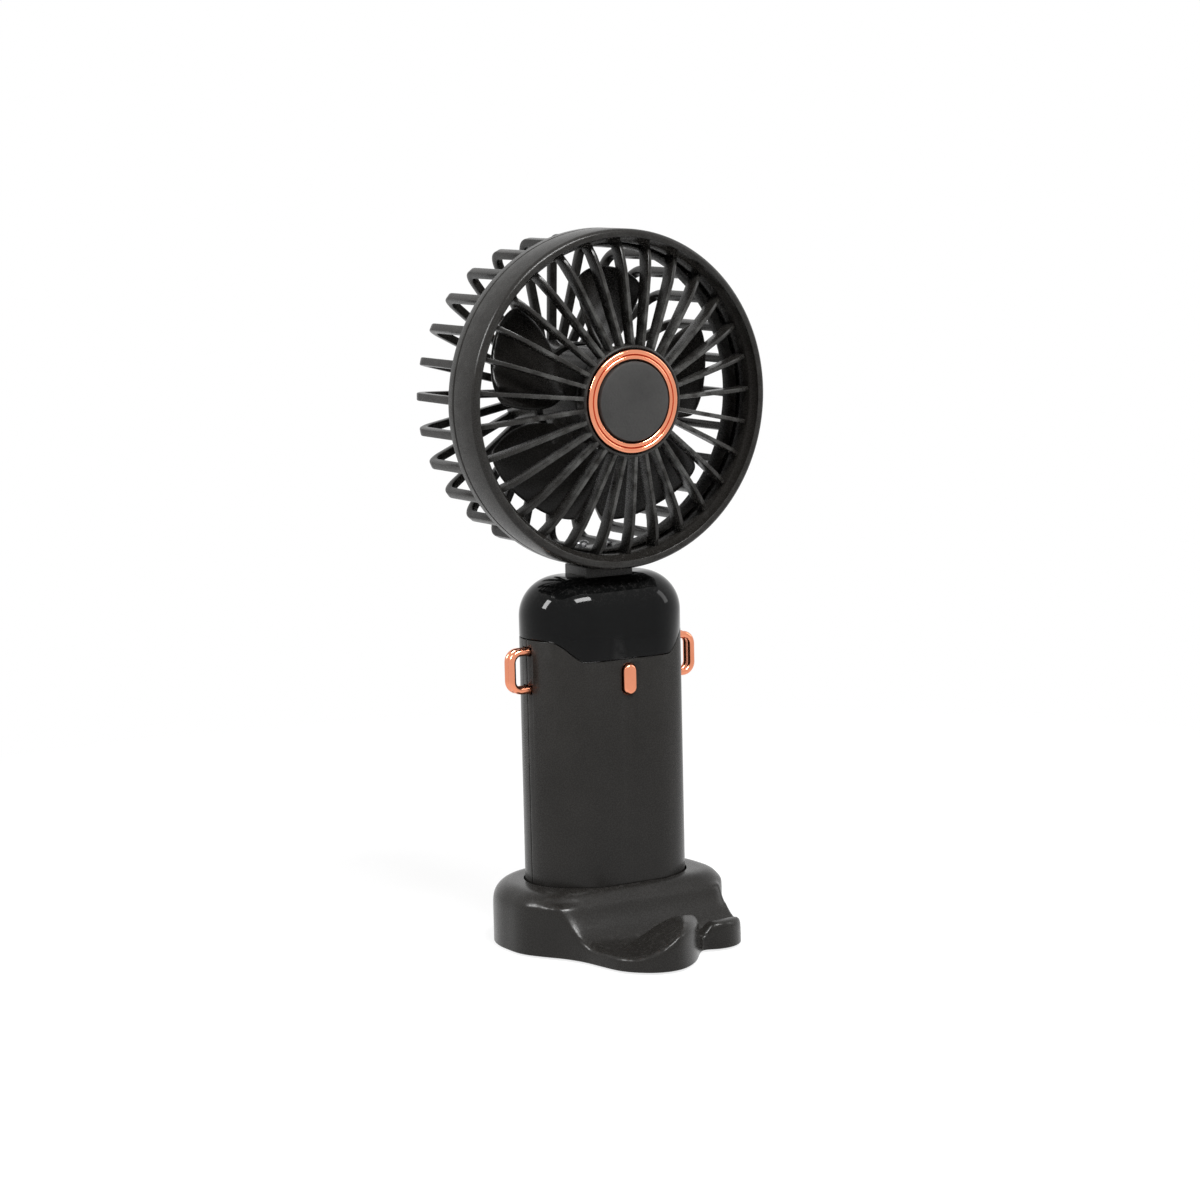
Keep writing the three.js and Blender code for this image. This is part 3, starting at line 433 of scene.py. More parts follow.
def build_moulded_grain():
    """The fine texture of a spark-eroded mould: small pits with a softer swell under them."""
    group, given, out = new_group(
        "moulded_grain",
        {"Grain": ("NodeSocketFloat", 2600.0), "Swell": ("NodeSocketFloat", 0.35)},
        {"Height": "NodeSocketFloat", "Speckle": "NodeSocketFloat"},
    )
    fine = noise(group, given.outputs["Grain"], 3.0)
    broad = noise(group, worked_out(group, "MULTIPLY", given.outputs["Grain"], 0.22), 2.0)
    height = node(group, "ShaderNodeMix", {"Factor": given.outputs["Swell"], "A": fine, "B": broad})
    group.links.new(height.outputs["Result"], out.inputs["Height"])
    group.links.new(spread(group, fine, 0.35, 0.68), out.inputs["Speckle"])
    return group


def build_edge_wear():
    """A mask of handled edges and corners, broken up by noise."""
    group, given, out = new_group(
        "edge_wear",
        {
            "Start": ("NodeSocketFloat", 0.53),
            "End": ("NodeSocketFloat", 0.62),
            "Breakup": ("NodeSocketFloat", 300.0),
        },
        {"Mask": "NodeSocketFloat"},
    )
    sharpness = group.nodes.new("ShaderNodeNewGeometry").outputs["Pointiness"]
    edge = spread(group, sharpness, given.outputs["Start"], given.outputs["End"])
    patches = spread(group, noise(group, given.outputs["Breakup"], 4.0), 0.35, 0.7)
    group.links.new(worked_out(group, "MULTIPLY", edge, patches), out.inputs["Mask"])
    return group


def build_tone_drift():
    """A slow change between two colours, as in moulded or plated surfaces."""
    group, given, out = new_group(
        "tone_drift",
        {
            "Colour": ("NodeSocketColor", (0.5, 0.5, 0.5, 1)),
            "Other": ("NodeSocketColor", (0.5, 0.5, 0.5, 1)),
            "Scale": ("NodeSocketFloat", 60.0),
        },
        {"Colour": "NodeSocketColor", "Mask": "NodeSocketFloat"},
    )
    mask = spread(group, noise(group, given.outputs["Scale"], 3.0, 0.6), 0.3, 0.7)
    colour = colour_mix(group, mask, given.outputs["Colour"], given.outputs["Other"])
    group.links.new(colour, out.inputs["Colour"])
    group.links.new(mask, out.inputs["Mask"])
    return group


def colour_mix(tree, factor, first, second):
    """The colour between two others; each may be a value or a socket."""
    mix = tree.nodes.new("ShaderNodeMix")
    mix.data_type = "RGBA"
    for socket, value in ((mix.inputs[0], factor), (mix.inputs[6], first), (mix.inputs[7], second)):
        if isinstance(value, bpy.types.NodeSocket):
            tree.links.new(value, socket)
        else:
            socket.default_value = value
    return mix.outputs[2]


def build_dust():
    """A mask of fine dust that settles on what faces up."""
    group, given, out = new_group(
        "dust",
        {"Amount": ("NodeSocketFloat", 0.2), "Fleck": ("NodeSocketFloat", 900.0)},
        {"Mask": "NodeSocketFloat"},
    )
    normal = group.nodes.new("ShaderNodeNewGeometry").outputs["Normal"]
    facing = node(group, "ShaderNodeSeparateXYZ", {0: normal})
    up = spread(group, facing.outputs["Z"], 0.3, 1.0)
    flecks = spread(group, noise(group, given.outputs["Fleck"], 4.0, 0.7), 0.5, 0.75)
    settled = worked_out(group, "MULTIPLY", up, flecks)
    group.links.new(worked_out(group, "MULTIPLY", settled, given.outputs["Amount"]), out.inputs["Mask"])
    return group


moulded_grain = build_moulded_grain()
edge_wear = build_edge_wear()
tone_drift = build_tone_drift()
dust = build_dust()


# ---- Finishes ----


def placed_group(tree, group, inputs):
    """Places a shared effect, with its inputs given by name."""
    made = tree.nodes.new("ShaderNodeGroup")
    made.node_tree = group
    for key, value in inputs.items():
        made.inputs[key.capitalize()].default_value = value
    return made


def finish_of(name, roughness=0.5, specular=0.5, metallic=0.0):
    """A material with its shader and output; returns the material, its tree and the shader."""
    material = bpy.data.materials.new(name)
    material.use_nodes = True
    tree = material.node_tree
    shader = tree.nodes["Principled BSDF"]
    shader.inputs["Roughness"].default_value = roughness
    shader.inputs["Specular IOR Level"].default_value = specular
    shader.inputs["Metallic"].default_value = metallic
    return material, tree, shader


def roughness_between(tree, shader, mask, low, high):
    """Roughness that goes from low to high with a mask."""
    tree.links.new(spread(tree, mask, 0.0, 1.0, low, high), shader.inputs["Roughness"])


def bumped(tree, shader, height, strength, distance):
    """Raises the surface a little, by a height and a distance in metres."""
    bump = node(tree, "ShaderNodeBump", {"Height": height, "Strength": strength, "Distance": distance})
    tree.links.new(bump.outputs["Normal"], shader.inputs["Normal"])


def plastic(name, colour, other, roughness, grain, depth, specular=0.5, worn=(0.05, 0.05, 0.048, 1)):
    """Moulded plastic: drifting tone, rubbed edges, a little dust and the mould's grain."""
    material, tree, shader = finish_of(name, specular=specular)
    tone = placed_group(tree, tone_drift, {"colour": colour, "other": other, "scale": 45.0})
    wear = placed_group(tree, edge_wear, {})
    rubbed = colour_mix(tree, wear.outputs["Mask"], tone.outputs["Colour"], worn)
    settled = placed_group(tree, dust, {"amount": 0.12})
    dusty = colour_mix(tree, settled.outputs["Mask"], rubbed, (0.16, 0.155, 0.15, 1))
    tree.links.new(dusty, shader.inputs["Base Color"])
    texture = placed_group(tree, moulded_grain, {"grain": grain})
    roughness_between(tree, shader, texture.outputs["Speckle"], *roughness)
    bumped(tree, shader, texture.outputs["Height"], 0.5, depth)
    return material


def metal(name, colour, other, roughness, streak=(1, 1, 1), depth=0.000004, grain=1800.0):
    """Bare or plated metal: drifting tone, fine handling marks along one direction."""
    material, tree, shader = finish_of(name, metallic=1.0)
    tone = placed_group(tree, tone_drift, {"colour": colour, "other": other, "scale": 90.0})
    tree.links.new(tone.outputs["Colour"], shader.inputs["Base Color"])
    along = node(tree, "ShaderNodeMapping", {"Vector": object_place(tree), "Scale": streak})
    marks = node(tree, "ShaderNodeTexNoise", {"Vector": along.outputs[0], "Scale": grain, "Detail": 4.0})
    roughness_between(tree, shader, marks.outputs["Fac"], *roughness)
    bumped(tree, shader, marks.outputs["Fac"], 0.4, depth)
    return material


def circuit_board():
    """Green lacquer over copper tracks."""
    material, tree, shader = finish_of("circuit_board", roughness=0.35)
    place = object_place(tree)
    tracks = node(tree, "ShaderNodeTexBrick", {"Vector": place, "Scale": 420.0, "Mortar Size": 0.012})
    tracks.inputs["Color1"].default_value = (0.010, 0.085, 0.035, 1)
    tracks.inputs["Color2"].default_value = (0.008, 0.070, 0.030, 1)
    tracks.inputs["Mortar"].default_value = (0.030, 0.160, 0.060, 1)
    tone = placed_group(tree, tone_drift, {"colour": (0, 0, 0, 1), "other": (1, 1, 1, 1), "scale": 150.0})
    lacquer = colour_mix(tree, tone.outputs["Mask"], tracks.outputs["Color"], (0.009, 0.060, 0.028, 1))
    tree.links.new(lacquer, shader.inputs["Base Color"])
    roughness_between(tree, shader, tracks.outputs["Fac"], 0.3, 0.5)
    bumped(tree, shader, tracks.outputs["Fac"], 0.3, 0.00003)
    return material


def wound_copper():
    """Lacquered wire laid turn by turn."""
    material, tree, shader = finish_of("wound_copper", metallic=1.0)
    place = object_place(tree)
    turns = node(tree, "ShaderNodeTexWave", {"Vector": place, "Scale": 900.0, "Distortion": 0.6})
    colour = colour_mix(tree, turns.outputs["Fac"], (0.30, 0.10, 0.035, 1), (0.80, 0.36, 0.16, 1))
    tree.links.new(colour, shader.inputs["Base Color"])
    roughness_between(tree, shader, turns.outputs["Fac"], 0.28, 0.45)
    bumped(tree, shader, turns.outputs["Fac"], 0.8, 0.00008)
    return material


SATIN_BLACK = plastic(
    "satin_black_plastic",
    (0.0078, 0.0072, 0.0064, 1),
    (0.0108, 0.0100, 0.0090, 1),
    (0.22, 0.33),
    2600.0,
    0.00004,
    specular=0.19,
)
GLOSS_BLACK = plastic(
    "gloss_black_plastic",
    (0.0016, 0.0017, 0.0018, 1),
    (0.0026, 0.0027, 0.0027, 1),
    (0.045, 0.075),
    700.0,
    0.0000006,
    specular=0.11,
    worn=(0.012, 0.012, 0.012, 1),
)
BADGE_BLACK = plastic(
    "textured_black_plastic",
    (0.014, 0.0138, 0.0135, 1),
    (0.028, 0.0272, 0.0262, 1),
    (0.42, 0.65),
    1500.0,
    0.0002,
    specular=0.3,
)
RUBBER = plastic(
    "black_rubber", (0.008, 0.008, 0.008, 1), (0.013, 0.013, 0.013, 1), (0.75, 0.9), 1800.0, 0.00006
)
FERRITE = plastic(
    "magnet_grey", (0.030, 0.030, 0.032, 1), (0.045, 0.045, 0.048, 1), (0.5, 0.65), 2200.0, 0.00003
)
CELL_WRAP = plastic("cell_wrap", (0.022, 0.105, 0.36, 1), (0.028, 0.13, 0.42, 1), (0.3, 0.4), 900.0, 0.00001)
ROSE_GOLD = metal("rose_gold_plating", (0.80, 0.31, 0.185, 1), (0.72, 0.26, 0.145, 1), (0.10, 0.2), (1, 1, 1))
STEEL = metal("bright_steel", (0.56, 0.56, 0.57, 1), (0.46, 0.46, 0.47, 1), (0.22, 0.38), (1, 4, 1))
COPPER = wound_copper()
BOARD = circuit_board()

FINISH_OF_NODE = {
    SATIN_BLACK: ["dock_plate"],
    RUBBER: ["dock_pad", "friction_washer_left", "friction_washer_right"],
    CELL_WRAP: ["battery_cell"],
    FERRITE: ["magnet_ring"],
    COPPER: [f"stator_coil_{i}" for i in range(1, 7)],
    BOARD: ["main_board", "charge_board", "motor_board"],
    STEEL: [
        *(f"dock_screw_{i}" for i in range(1, 5)), "dock_weight", "power_switch", "usb_socket",
        "hinge_bracket", "hinge_pin", "motor_base", "stator_core", "front_bearing", "rear_bearing",
        "rotor_can", "motor_shaft", "shaft_clip",
    ],
}


def finish_frame_nodes():
    """Gives the frame's own pieces that stay in view their finish."""
    for material, names in FINISH_OF_NODE.items():
        for name in names:
            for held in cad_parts[name].material_slots:
                held.material = material


def dress(piece, material, body, material_slot, *nodes):
    """The last step for a new piece: its finish, the body it rides on and the nodes it stands for."""
    piece.data.materials.clear()
    piece.data.materials.append(material)
    smooth(piece)
    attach(piece, body)
    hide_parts(*nodes)
    return piece


# ---- Pieces of the head ----


def ring_of(pattern, count, first):
    """Copies a pattern round the fan's axis; the pattern itself is used up."""
    copies = []
    for i in range(count):
        placed = turn_about(fan_axis, "Y", first + i * math.tau / count)
        copies.append(copy_of(pattern, f"{pattern.name}_{i + 1}", placed))
    bpy.data.objects.remove(pattern)
    return copies


def grille_rim():
    profile = [
        (0.0463, split_front), (0.0497, split_front), (rim_radius, split_front - 0.0003),
        (rim_radius, -0.0146), (0.0498, -0.0152), (0.0494, -0.0157), (0.0489, -RIM_DEPTH),
        (0.0479, -RIM_DEPTH), (LIP_INNER, -0.0158), (0.04745, -0.0147), (0.0464, -0.0134),
        (RIM_INNER, -0.0128), (RIM_INNER, -0.0048),
    ]
    return turned("rim", profile, sides=192, closed=True)


def grille_hub():
    """A dished plate with a raised lip round the trim ring."""
    back = hub_front + 0.0044
    seat = hub_front + HUB_RECESS
    profile = [
        (HUB_RADIUS - 0.0004, back), (HUB_RADIUS, back - 0.0004), (HUB_RADIUS, hub_front + 0.0007),
        (HUB_RADIUS - 0.0002, hub_front + 0.0002), (HUB_RADIUS - 0.0006, hub_front),
        (HUB_RADIUS - 0.0009, hub_front + 0.0001), (HUB_RADIUS - 0.001, hub_front + 0.0005),
        (HUB_RADIUS - 0.001, seat),
    ]
    return turned("hub", profile)


def grille_spoke():
    """One blade-like spoke, deeper at the rim, with its edges rubbed round."""
    stations = [
        (0.0162, -0.0214, -0.0175), (0.0300, -0.0185, -0.0139), (0.0380, -0.0166, -0.0116),
        (0.0430, -0.0147, -0.0095), (0.0464, -0.0125, -0.0072),
    ]
    bar = drawn_bar("spoke", SPOKE_THICKNESS, stations)
    soften(bar, 0.0004, 2)
    return bar


def front_grille():
    spokes = ring_of(grille_spoke(), SPOKES, FIRST_SPOKE)
    whole = join("front_guard", [grille_rim(), grille_hub(), *spokes])
    return dress(whole, SATIN_BLACK, "head", "satin_black", "front_grille")


def hub_trim_ring():
    """Two beads side by side."""
    outer = trim_high.x
    seat = trim_high.y
    profile = [
        (outer, seat), *arc(0.0144, -0.0217, 0.0008, 0, -180, 10),
        *arc(0.01285, -0.02175, 0.00075, -10, -180, 9), (0.0121, seat),
    ]
    ring = turned("trim_ring", profile, closed=True)
    return dress(ring, ROSE_GOLD, "head", "rose_gold", "hub_trim_ring")


def hub_badge():
    """A plain round plate with a worn-round edge and a slight dome."""
    radius, face, seat = badge_high.x, badge_low.y, badge_high.y
    profile = [
        (radius - 0.0003, seat), (radius, seat - 0.0003), (radius, face + 0.0006),
        (radius - 0.0002, face + 0.00025), (radius - 0.0006, face + 0.0001), (0.0085, face + 0.00004),
        (0.0045, face + 0.00001), (0.001, face),
    ]
    plate = turned("badge", profile)
    return dress(plate, BADGE_BLACK, "head", "badge_black", "hub_badge")


def cage_band():
    """The band with the step that enters the front rim."""
    front = BAND_FRONT
    profile = [
        (BAND_INNER, -0.0066), (BAND_INNER + 0.0003, cage_low.y), (0.0454, cage_low.y), (0.0457, -0.0067),
        (0.0457, front), (0.0497, front), (rim_radius, front + 0.0003), (rim_radius, -0.0013),
        (0.0497, -0.0006), (0.0491, -0.0001), (0.0488, 0.0), (BAND_INNER + 0.0004, 0.0),
        (BAND_INNER, -0.0004),
    ]
    return turned("band", profile, sides=192, closed=True)


def cage_rib():
    """One rib: straight back from the band, round the corner and in to the rear cup."""
    middle = RIB_OUTER - RIB_THICKNESS / 2
    bpy.ops.mesh.primitive_cube_add(
        size=1, location=fan_axis + Vector((0, -0.0008, middle)), scale=(RIB_WIDTH, 0.001, RIB_THICKNESS)
    )
    rib = settle("rib")
    edit()
    pick("FACE", lambda p, n: n.y > 0.5)
    extrude((0, cage_back - RIB_CORNER + 0.0003, 0))
    turn_centre = fan_axis + Vector((0, cage_back - RIB_CORNER, RIB_OUTER - RIB_CORNER))
    bpy.ops.mesh.spin(steps=10, angle=math.pi / 2, center=turn_centre, axis=(1, 0, 0))
    pick("FACE", lambda p, n: n.z < -0.5 and p.y > cage_back - RIB_THICKNESS)
    extrude((0, 0, REAR_HUB_RADIUS - 0.0006 - (RIB_OUTER - RIB_CORNER)))
    weld()
    leave_edit()
    soften(rib, 0.0004, 2)
    return rib


def cage_cup():
    inner = REAR_HUB_RADIUS - REAR_HUB_WALL
    floor = REAR_HUB_FRONT + 0.002
    profile = [
        (0.004, REAR_HUB_FRONT), (REAR_HUB_RADIUS - 0.0005, REAR_HUB_FRONT),
        (REAR_HUB_RADIUS, REAR_HUB_FRONT + 0.0005), (REAR_HUB_RADIUS, cage_back - 0.0007),
        (REAR_HUB_RADIUS - 0.0002, cage_back - 0.0002), (REAR_HUB_RADIUS - 0.0007, cage_back),
        (inner + 0.0003, cage_back), (inner, cage_back - 0.0003), (inner, floor), (0.004, floor),
    ]
    return turned("rear_cup", profile, closed=True)


def neck_boss():
    """The block at the bottom of the band that the neck is screwed to."""
    half = neck_high.x
    front, back = BAND_FRONT, neck_high.y
    profile = [(BAND_INNER, front), (rim_radius, front), (rim_radius, back), (BAND_INNER, back)]
    boss = turned("neck_boss", profile, sides=192, closed=True)
    only(boss)
    edit()
    bisect(fan_axis, (0, 0, 1), clear_outer=True)
    bisect((half, 0, 0), (1, 0, 0), clear_outer=True, fill=True)
    bisect((-half, 0, 0), (-1, 0, 0), clear_outer=True, fill=True)
    weld()
    leave_edit()
    soften(boss, 0.0005, 2)
    return boss


def rear_cage():
    ribs = ring_of(cage_rib(), RIBS, FIRST_RIB)
    whole = join("rear_guard", [cage_band(), cage_cup(), neck_boss(), *ribs])
    return dress(whole, SATIN_BLACK, "head", "satin_black", "rear_cage")


def rear_hub_cover():
    """A round lid with a shallow groove."""
    radius, face = cover_high.x, cover_high.y
    profile = [
        (radius, cover_low.y), (radius, face - 0.0005), (radius - 0.00015, face - 0.00015),
        (radius - 0.0005, face), (0.0112, face), (0.0109, face - 0.0004), (0.0102, face - 0.0004),
        (0.0099, face), (0.005, face - 0.00003),
    ]
    lid = turned("rear_lid", profile)
    return dress(lid, SATIN_BLACK, "head", "satin_black", "rear_hub_cover")


def blade_point(along, across):
    """Where a point of the first blade lies: along runs from root to tip, across from edge to edge."""
    root = IMPELLER_HUB - 0.0009
    tip = BLADE_TIP - 0.0018 * abs(across) ** 4
    radius = root + (tip - root) * along
    grown = math.sin(math.pi / 2 * min(1, along * 1.25))
    half_chord = 0.008 + 0.0088 * grown
    pitch = math.radians(44 - 23 * along)
    angle = across * half_chord * math.cos(pitch) / max(radius, 0.02)
    camber = 0.0016 * (1 - across * across)
    place = -0.003 + across * half_chord * math.sin(pitch) + camber
    return fan_axis + Vector((radius * math.sin(angle), place, radius * math.cos(angle)))


def impeller_blade():
    """A flat grid drawn point by point into a twisted, cambered blade, then given thickness."""
    columns, rows = 10, 8
    bpy.ops.mesh.primitive_grid_add(
        x_subdivisions=columns, y_subdivisions=rows, size=1, location=(0, 0, 0), rotation=(math.pi / 2, 0, 0)
    )
    blade = settle("blade")
    edit()
    for j in range(rows + 1):
        for i in range(columns + 1):
            start = Vector((i / columns - 0.5, 0, j / rows - 0.5))
            if not pick("VERT", lambda p: (p - start).length < TINY):
                continue
            target = blade_point(j / rows, 2 * i / columns - 1)
            bpy.ops.transform.translate(value=target - start)
    weld()
    leave_edit()
    apply_modifier(blade, "SOLIDIFY", thickness=BLADE_THICKNESS, offset=0)
    apply_modifier(blade, "SUBSURF", levels=2)
    return blade


def impeller():
    front, back = impeller_low.y, impeller_high.y
    inner = IMPELLER_HUB - IMPELLER_WALL
    profile = [
        (0.008, front), (IMPELLER_HUB - 0.0012, front), (IMPELLER_HUB - 0.0004, front + 0.0004),
        (IMPELLER_HUB, front + 0.0012), (IMPELLER_HUB, back - 0.0002), (IMPELLER_HUB - 0.0002, back),
        (inner, back), (inner, front + 0.001), (0.008, front + 0.001),
    ]
    hub = turned("impeller_hub", profile)
    blades = ring_of(impeller_blade(), BLADES, FIRST_BLADE)
    whole = join("fan_wheel", [hub, *blades])
    return dress(whole, SATIN_BLACK, "rotor", "satin_black", "impeller")


# ---- Pieces of the handle ----


def edge_level(x):
    """The cap's lower edge: low across the front and rear, high at the sides."""
    climbed = ramp(abs(x), TONGUE_HALF_WIDTH, SHOULDER_HALF_WIDTH)
    return cap_edge_low + (side_level + SEAM_GAP - cap_edge_low) * climbed


def draw_edge(level, place_of):
    """In edit mode, moves the outline that lies at one level up or down, column by column."""
    mesh = bmesh.from_edit_mesh(bpy.context.object.data)
    columns = sorted({round(v.co.x, 5) for v in mesh.verts if abs(v.co.z - level) < TINY})
    for x in columns:
        rise = place_of(x) - level
        if abs(rise) > 2 * TINY:
            pick("VERT", lambda p: abs(p.z - level) < TINY and abs(p.x - x) < 1.2 * TINY)
            bpy.ops.transform.translate(value=(0, 0, rise))


def add_columns(half_width, spacing):
    """In edit mode, cuts the flat front and rear into columns."""
    count = int(half_width / spacing)
    for i in range(-count, count + 1):
        bisect((i * spacing, 0, 0), (1, 0, 0))


def top_cap():
    """The glossy cap: a rounded top, a wavy lower edge and the slot the neck tilts in."""
    cap = stadium("cap", handle_half_width, handle_half_depth, cap_edge_low, handle_top)
    round_level_edges(cap, handle_top, CAP_ROUND, 20)
    edit()
    pick("FACE", lambda p, n: n.z < -0.5)
    bpy.ops.mesh.delete(type="FACE")
    add_columns(handle_half_width - handle_half_depth, COLUMN_WIDTH)
    draw_edge(cap_edge_low, edge_level)
    bisect((SLOT_HALF_WIDTH, 0, 0), (1, 0, 0))
    bisect((-SLOT_HALF_WIDTH, 0, 0), (1, 0, 0))
    bisect((0, SLOT_FRONT, 0), (0, 1, 0))
    pick("FACE", lambda p, n: abs(p.x) < SLOT_HALF_WIDTH and p.y > SLOT_FRONT)
    bpy.ops.mesh.delete(type="FACE")
    weld()
    leave_edit()
    apply_modifier(cap, "SOLIDIFY", thickness=HANDLE_WALL, offset=-1, use_even_offset=True)
    soften(cap, 0.00025, 3, BLUNT)
    return dress(cap, GLOSS_BLACK, "handle", "gloss_black", "top_cap")


def plain_box(name, low, high):
    low, high = Vector(low), Vector(high)
    bpy.ops.mesh.primitive_cube_add(size=1, location=(low + high) / 2, scale=high - low)
    return settle(name)


def rod(name, axis, radius, low, high, centre, sides=32):
    """A round bar along one axis, between two places on it."""
    centre = Vector(centre)
    turn = {"x": (0, math.pi / 2, 0), "y": (math.pi / 2, 0, 0), "z": (0, 0, 0)}[axis]
    setattr(centre, axis, (low + high) / 2)
    bpy.ops.mesh.primitive_cylinder_add(
        vertices=sides, radius=radius, depth=high - low, location=centre, rotation=turn
    )
    return settle(name)


def long_rod(name, radius, spread, front, back, level):
    """A bar along the depth whose section is drawn out: spread is how far its ends move across and up."""
    bar = rod(name, "y", radius, front, back, (0, 0, level), 48)
    across, up = spread
    edit()
    if up:
        pick("VERT", lambda p: p.z > level + TINY)
        bpy.ops.transform.translate(value=(0, 0, up))
        pick("VERT", lambda p: p.z < level - TINY)
        bpy.ops.transform.translate(value=(0, 0, -up))
    else:
        pick("VERT", lambda p: p.x > TINY)
        bpy.ops.transform.translate(value=(across, 0, 0))
        pick("VERT", lambda p: p.x < -TINY)
        bpy.ops.transform.translate(value=(-across, 0, 0))
    leave_edit()
    return bar


def half_shell(name, side):
    """One half of the handle's body: side is -1 for the front and 1 for the rear."""
    shell = stadium(name, handle_half_width, handle_half_depth, handle_bottom, side_level)
    round_level_edges(shell, handle_bottom, FOOT_ROUND, 8)
    edit()
    pick("FACE", lambda p, n: n.z > 0.5)
    bpy.ops.mesh.delete(type="FACE")
    add_columns(handle_half_width - handle_half_depth, COLUMN_WIDTH)
    draw_edge(side_level, lambda x: edge_level(x) - SEAM_GAP)
    bisect((0, side * SEAM_GAP / 2, 0), (0, -side, 0), clear_outer=True)
    weld()
    leave_edit()
    apply_modifier(shell, "SOLIDIFY", thickness=HANDLE_WALL, offset=-1, use_even_offset=True)
    for way in (-1, 1):
        near, far = loop_low.x - 0.0003, handle_half_width + 0.003
        across = (near, far) if way > 0 else (-far, -near)
        for bar_low in (loop_low.z, loop_high.z - LOOP_BAR):
            low = (across[0], loop_low.y - NOTCH_GAP, bar_low - NOTCH_GAP)
            high = (across[1], loop_high.y + NOTCH_GAP, bar_low + LOOP_BAR + NOTCH_GAP)
            combine(shell, plain_box("notch", low, high), "DIFFERENCE")
    return shell


def front_shell():
    shell = half_shell("front_half", -1)
    level = (button_low.z + button_high.z) / 2
    hole = long_rod("hole", KEY_HOLE, (0, KEY_STRAIGHT), shell_low.y - 0.002, shell_low.y + 0.004, level)
    combine(shell, hole, "DIFFERENCE")
    soften(shell, SHELL_EDGE, 2, BLUNT)
    return dress(shell, SATIN_BLACK, "handle", "satin_black", "front_shell")


def rear_shell():
    shell = half_shell("rear_half", 1)
    back = handle_half_depth
    level = (usb_low.z + usb_high.z) / 2
    inlet = long_rod("hole", INLET_RADIUS, (INLET_STRAIGHT, 0), back - 0.004, back + 0.002, level)
    combine(shell, inlet, "DIFFERENCE")
    for x in (-SCREW_X, SCREW_X):
        for z in SCREW_LEVELS:
            combine(shell, rod("boss", "y", SCREW_BOSS, 0.0012, back - 0.0045, (x, 0, z)), "UNION")
            pocket = rod("pocket", "y", SCREW_HEAD_BORE, SCREW_SEAT, back + 0.002, (x, 0, z))
            combine(shell, pocket, "DIFFERENCE")
    soften(shell, SHELL_EDGE, 2, BLUNT)
    return dress(shell, SATIN_BLACK, "handle", "satin_black", "rear_shell")


def power_button():
    """An upright key with a flange behind the shell's wall."""
    level = (button_low.z + button_high.z) / 2
    face, back = button_low.y, button_high.y
    key = long_rod("power_key", KEY_RADIUS, (0, KEY_STRAIGHT), face, back, level)
    edit()
    pick("EDGE", lambda a, b: abs(a.y - face) < TINY and abs(b.y - face) < TINY)
    bpy.ops.mesh.bevel(offset=0.0009, segments=4, affect="EDGES", clamp_overlap=True)
    leave_edit()
    flange = long_rod("flange", KEY_FLANGE, (0, KEY_STRAIGHT), back - KEY_FLANGE_THICKNESS, back, level)
    whole = join("power_key", [key, flange])
    return dress(whole, ROSE_GOLD, "button", "rose_gold", "power_button")


def loop_rod(name, depth):
    """One of a loop's two round bars, bent from its upper root to its lower one."""
    radius = LOOP_BAR / 2
    level = loop_high.z - radius
    bend = loop_high.x - LOOP_CORNER
    high_bend = loop_high.z - LOOP_CORNER
    low_bend = loop_low.z + LOOP_CORNER
    bpy.ops.mesh.primitive_circle_add(
        vertices=20,
        radius=radius,
        fill_type="NGON",
        location=(loop_low.x, depth, level),
        rotation=(0, math.pi / 2, 0),
    )
    bar = settle(name)
    edit()
    bpy.ops.mesh.select_all(action="SELECT")
    extrude((bend - loop_low.x, 0, 0))
    for centre_z, down in ((high_bend, low_bend - high_bend), (low_bend, 0)):
        bpy.ops.mesh.spin(steps=8, angle=math.pi / 2, center=(bend, depth, centre_z), axis=(0, -1, 0))
        if down:
            extrude((0, 0, down))
    extrude((loop_low.x - bend, 0, 0))
    weld()
    leave_edit()
    return bar


def lanyard_loop(name, node_name, mirrored):
    """Two bars side by side on a root block held in the side seam."""
    shift = loop_high.y - LOOP_BAR / 2
    bars = [loop_rod("bar_1", -shift), loop_rod("bar_2", shift)]
    root = plain_box("root", loop_low, (handle_half_width - HANDLE_WALL - 0.0003, loop_high.y, loop_high.z))
    soften(root, 0.0003, 2)
    loop = join(name, [*bars, root])
    if mirrored:
        loop.data.transform(Matrix.Rotation(math.pi, 4, "Z"))
    return dress(loop, ROSE_GOLD, "handle", "rose_gold", node_name)


def neck_arm():
    """The arm between the hinge and the head: a round knuckle below, a saddle above."""
    arm = plain_box("neck", neck_low, neck_high)
    half_depth = neck_high.y
    edit()
    pick("EDGE", lambda a, b: max(abs(a.z - neck_low.z), abs(b.z - neck_low.z), abs(a.y - b.y)) < TINY)
    bpy.ops.mesh.bevel(offset=half_depth - 0.00002, segments=14, affect="EDGES", clamp_overlap=True)
    weld()
    leave_edit()
    saddle = rod("saddle", "y", rim_radius + 0.0003, -0.02, 0.02, fan_axis, 192)
    combine(arm, saddle, "DIFFERENCE")
    combine(arm, rod("bore", "x", PIN_BORE, -0.02, 0.02, (0, 0, pin_level)), "DIFFERENCE")
    soften(arm, 0.0005, 3, BLUNT)
    return dress(arm, SATIN_BLACK, "head", "satin_black", "neck_arm")


# ---- Screws ----


def screw_pattern(name, length):
    """A domed screw that points forward, its head's top at the origin, with a cross recess."""
    head = 0.0013
    profile = [
        (0.0005, -length), (0.0012, -length + 0.0009), (0.0012, -head), (0.0021, -head),
        (0.0021, -head + 0.0004), (0.00195, -0.00045), (0.0016, -0.0002), (0.001, -0.00004), (0.0005, 0),
    ]
    screw = turned(name, profile, Vector((0, 0, 0)), 32)
    for width, height in ((0.0004, 0.0021), (0.0021, 0.0004)):
        bar = plain_box("recess", (-width / 2, -0.0008, -height / 2), (width / 2, 0.001, height / 2))
        combine(screw, bar, "DIFFERENCE")
    return screw


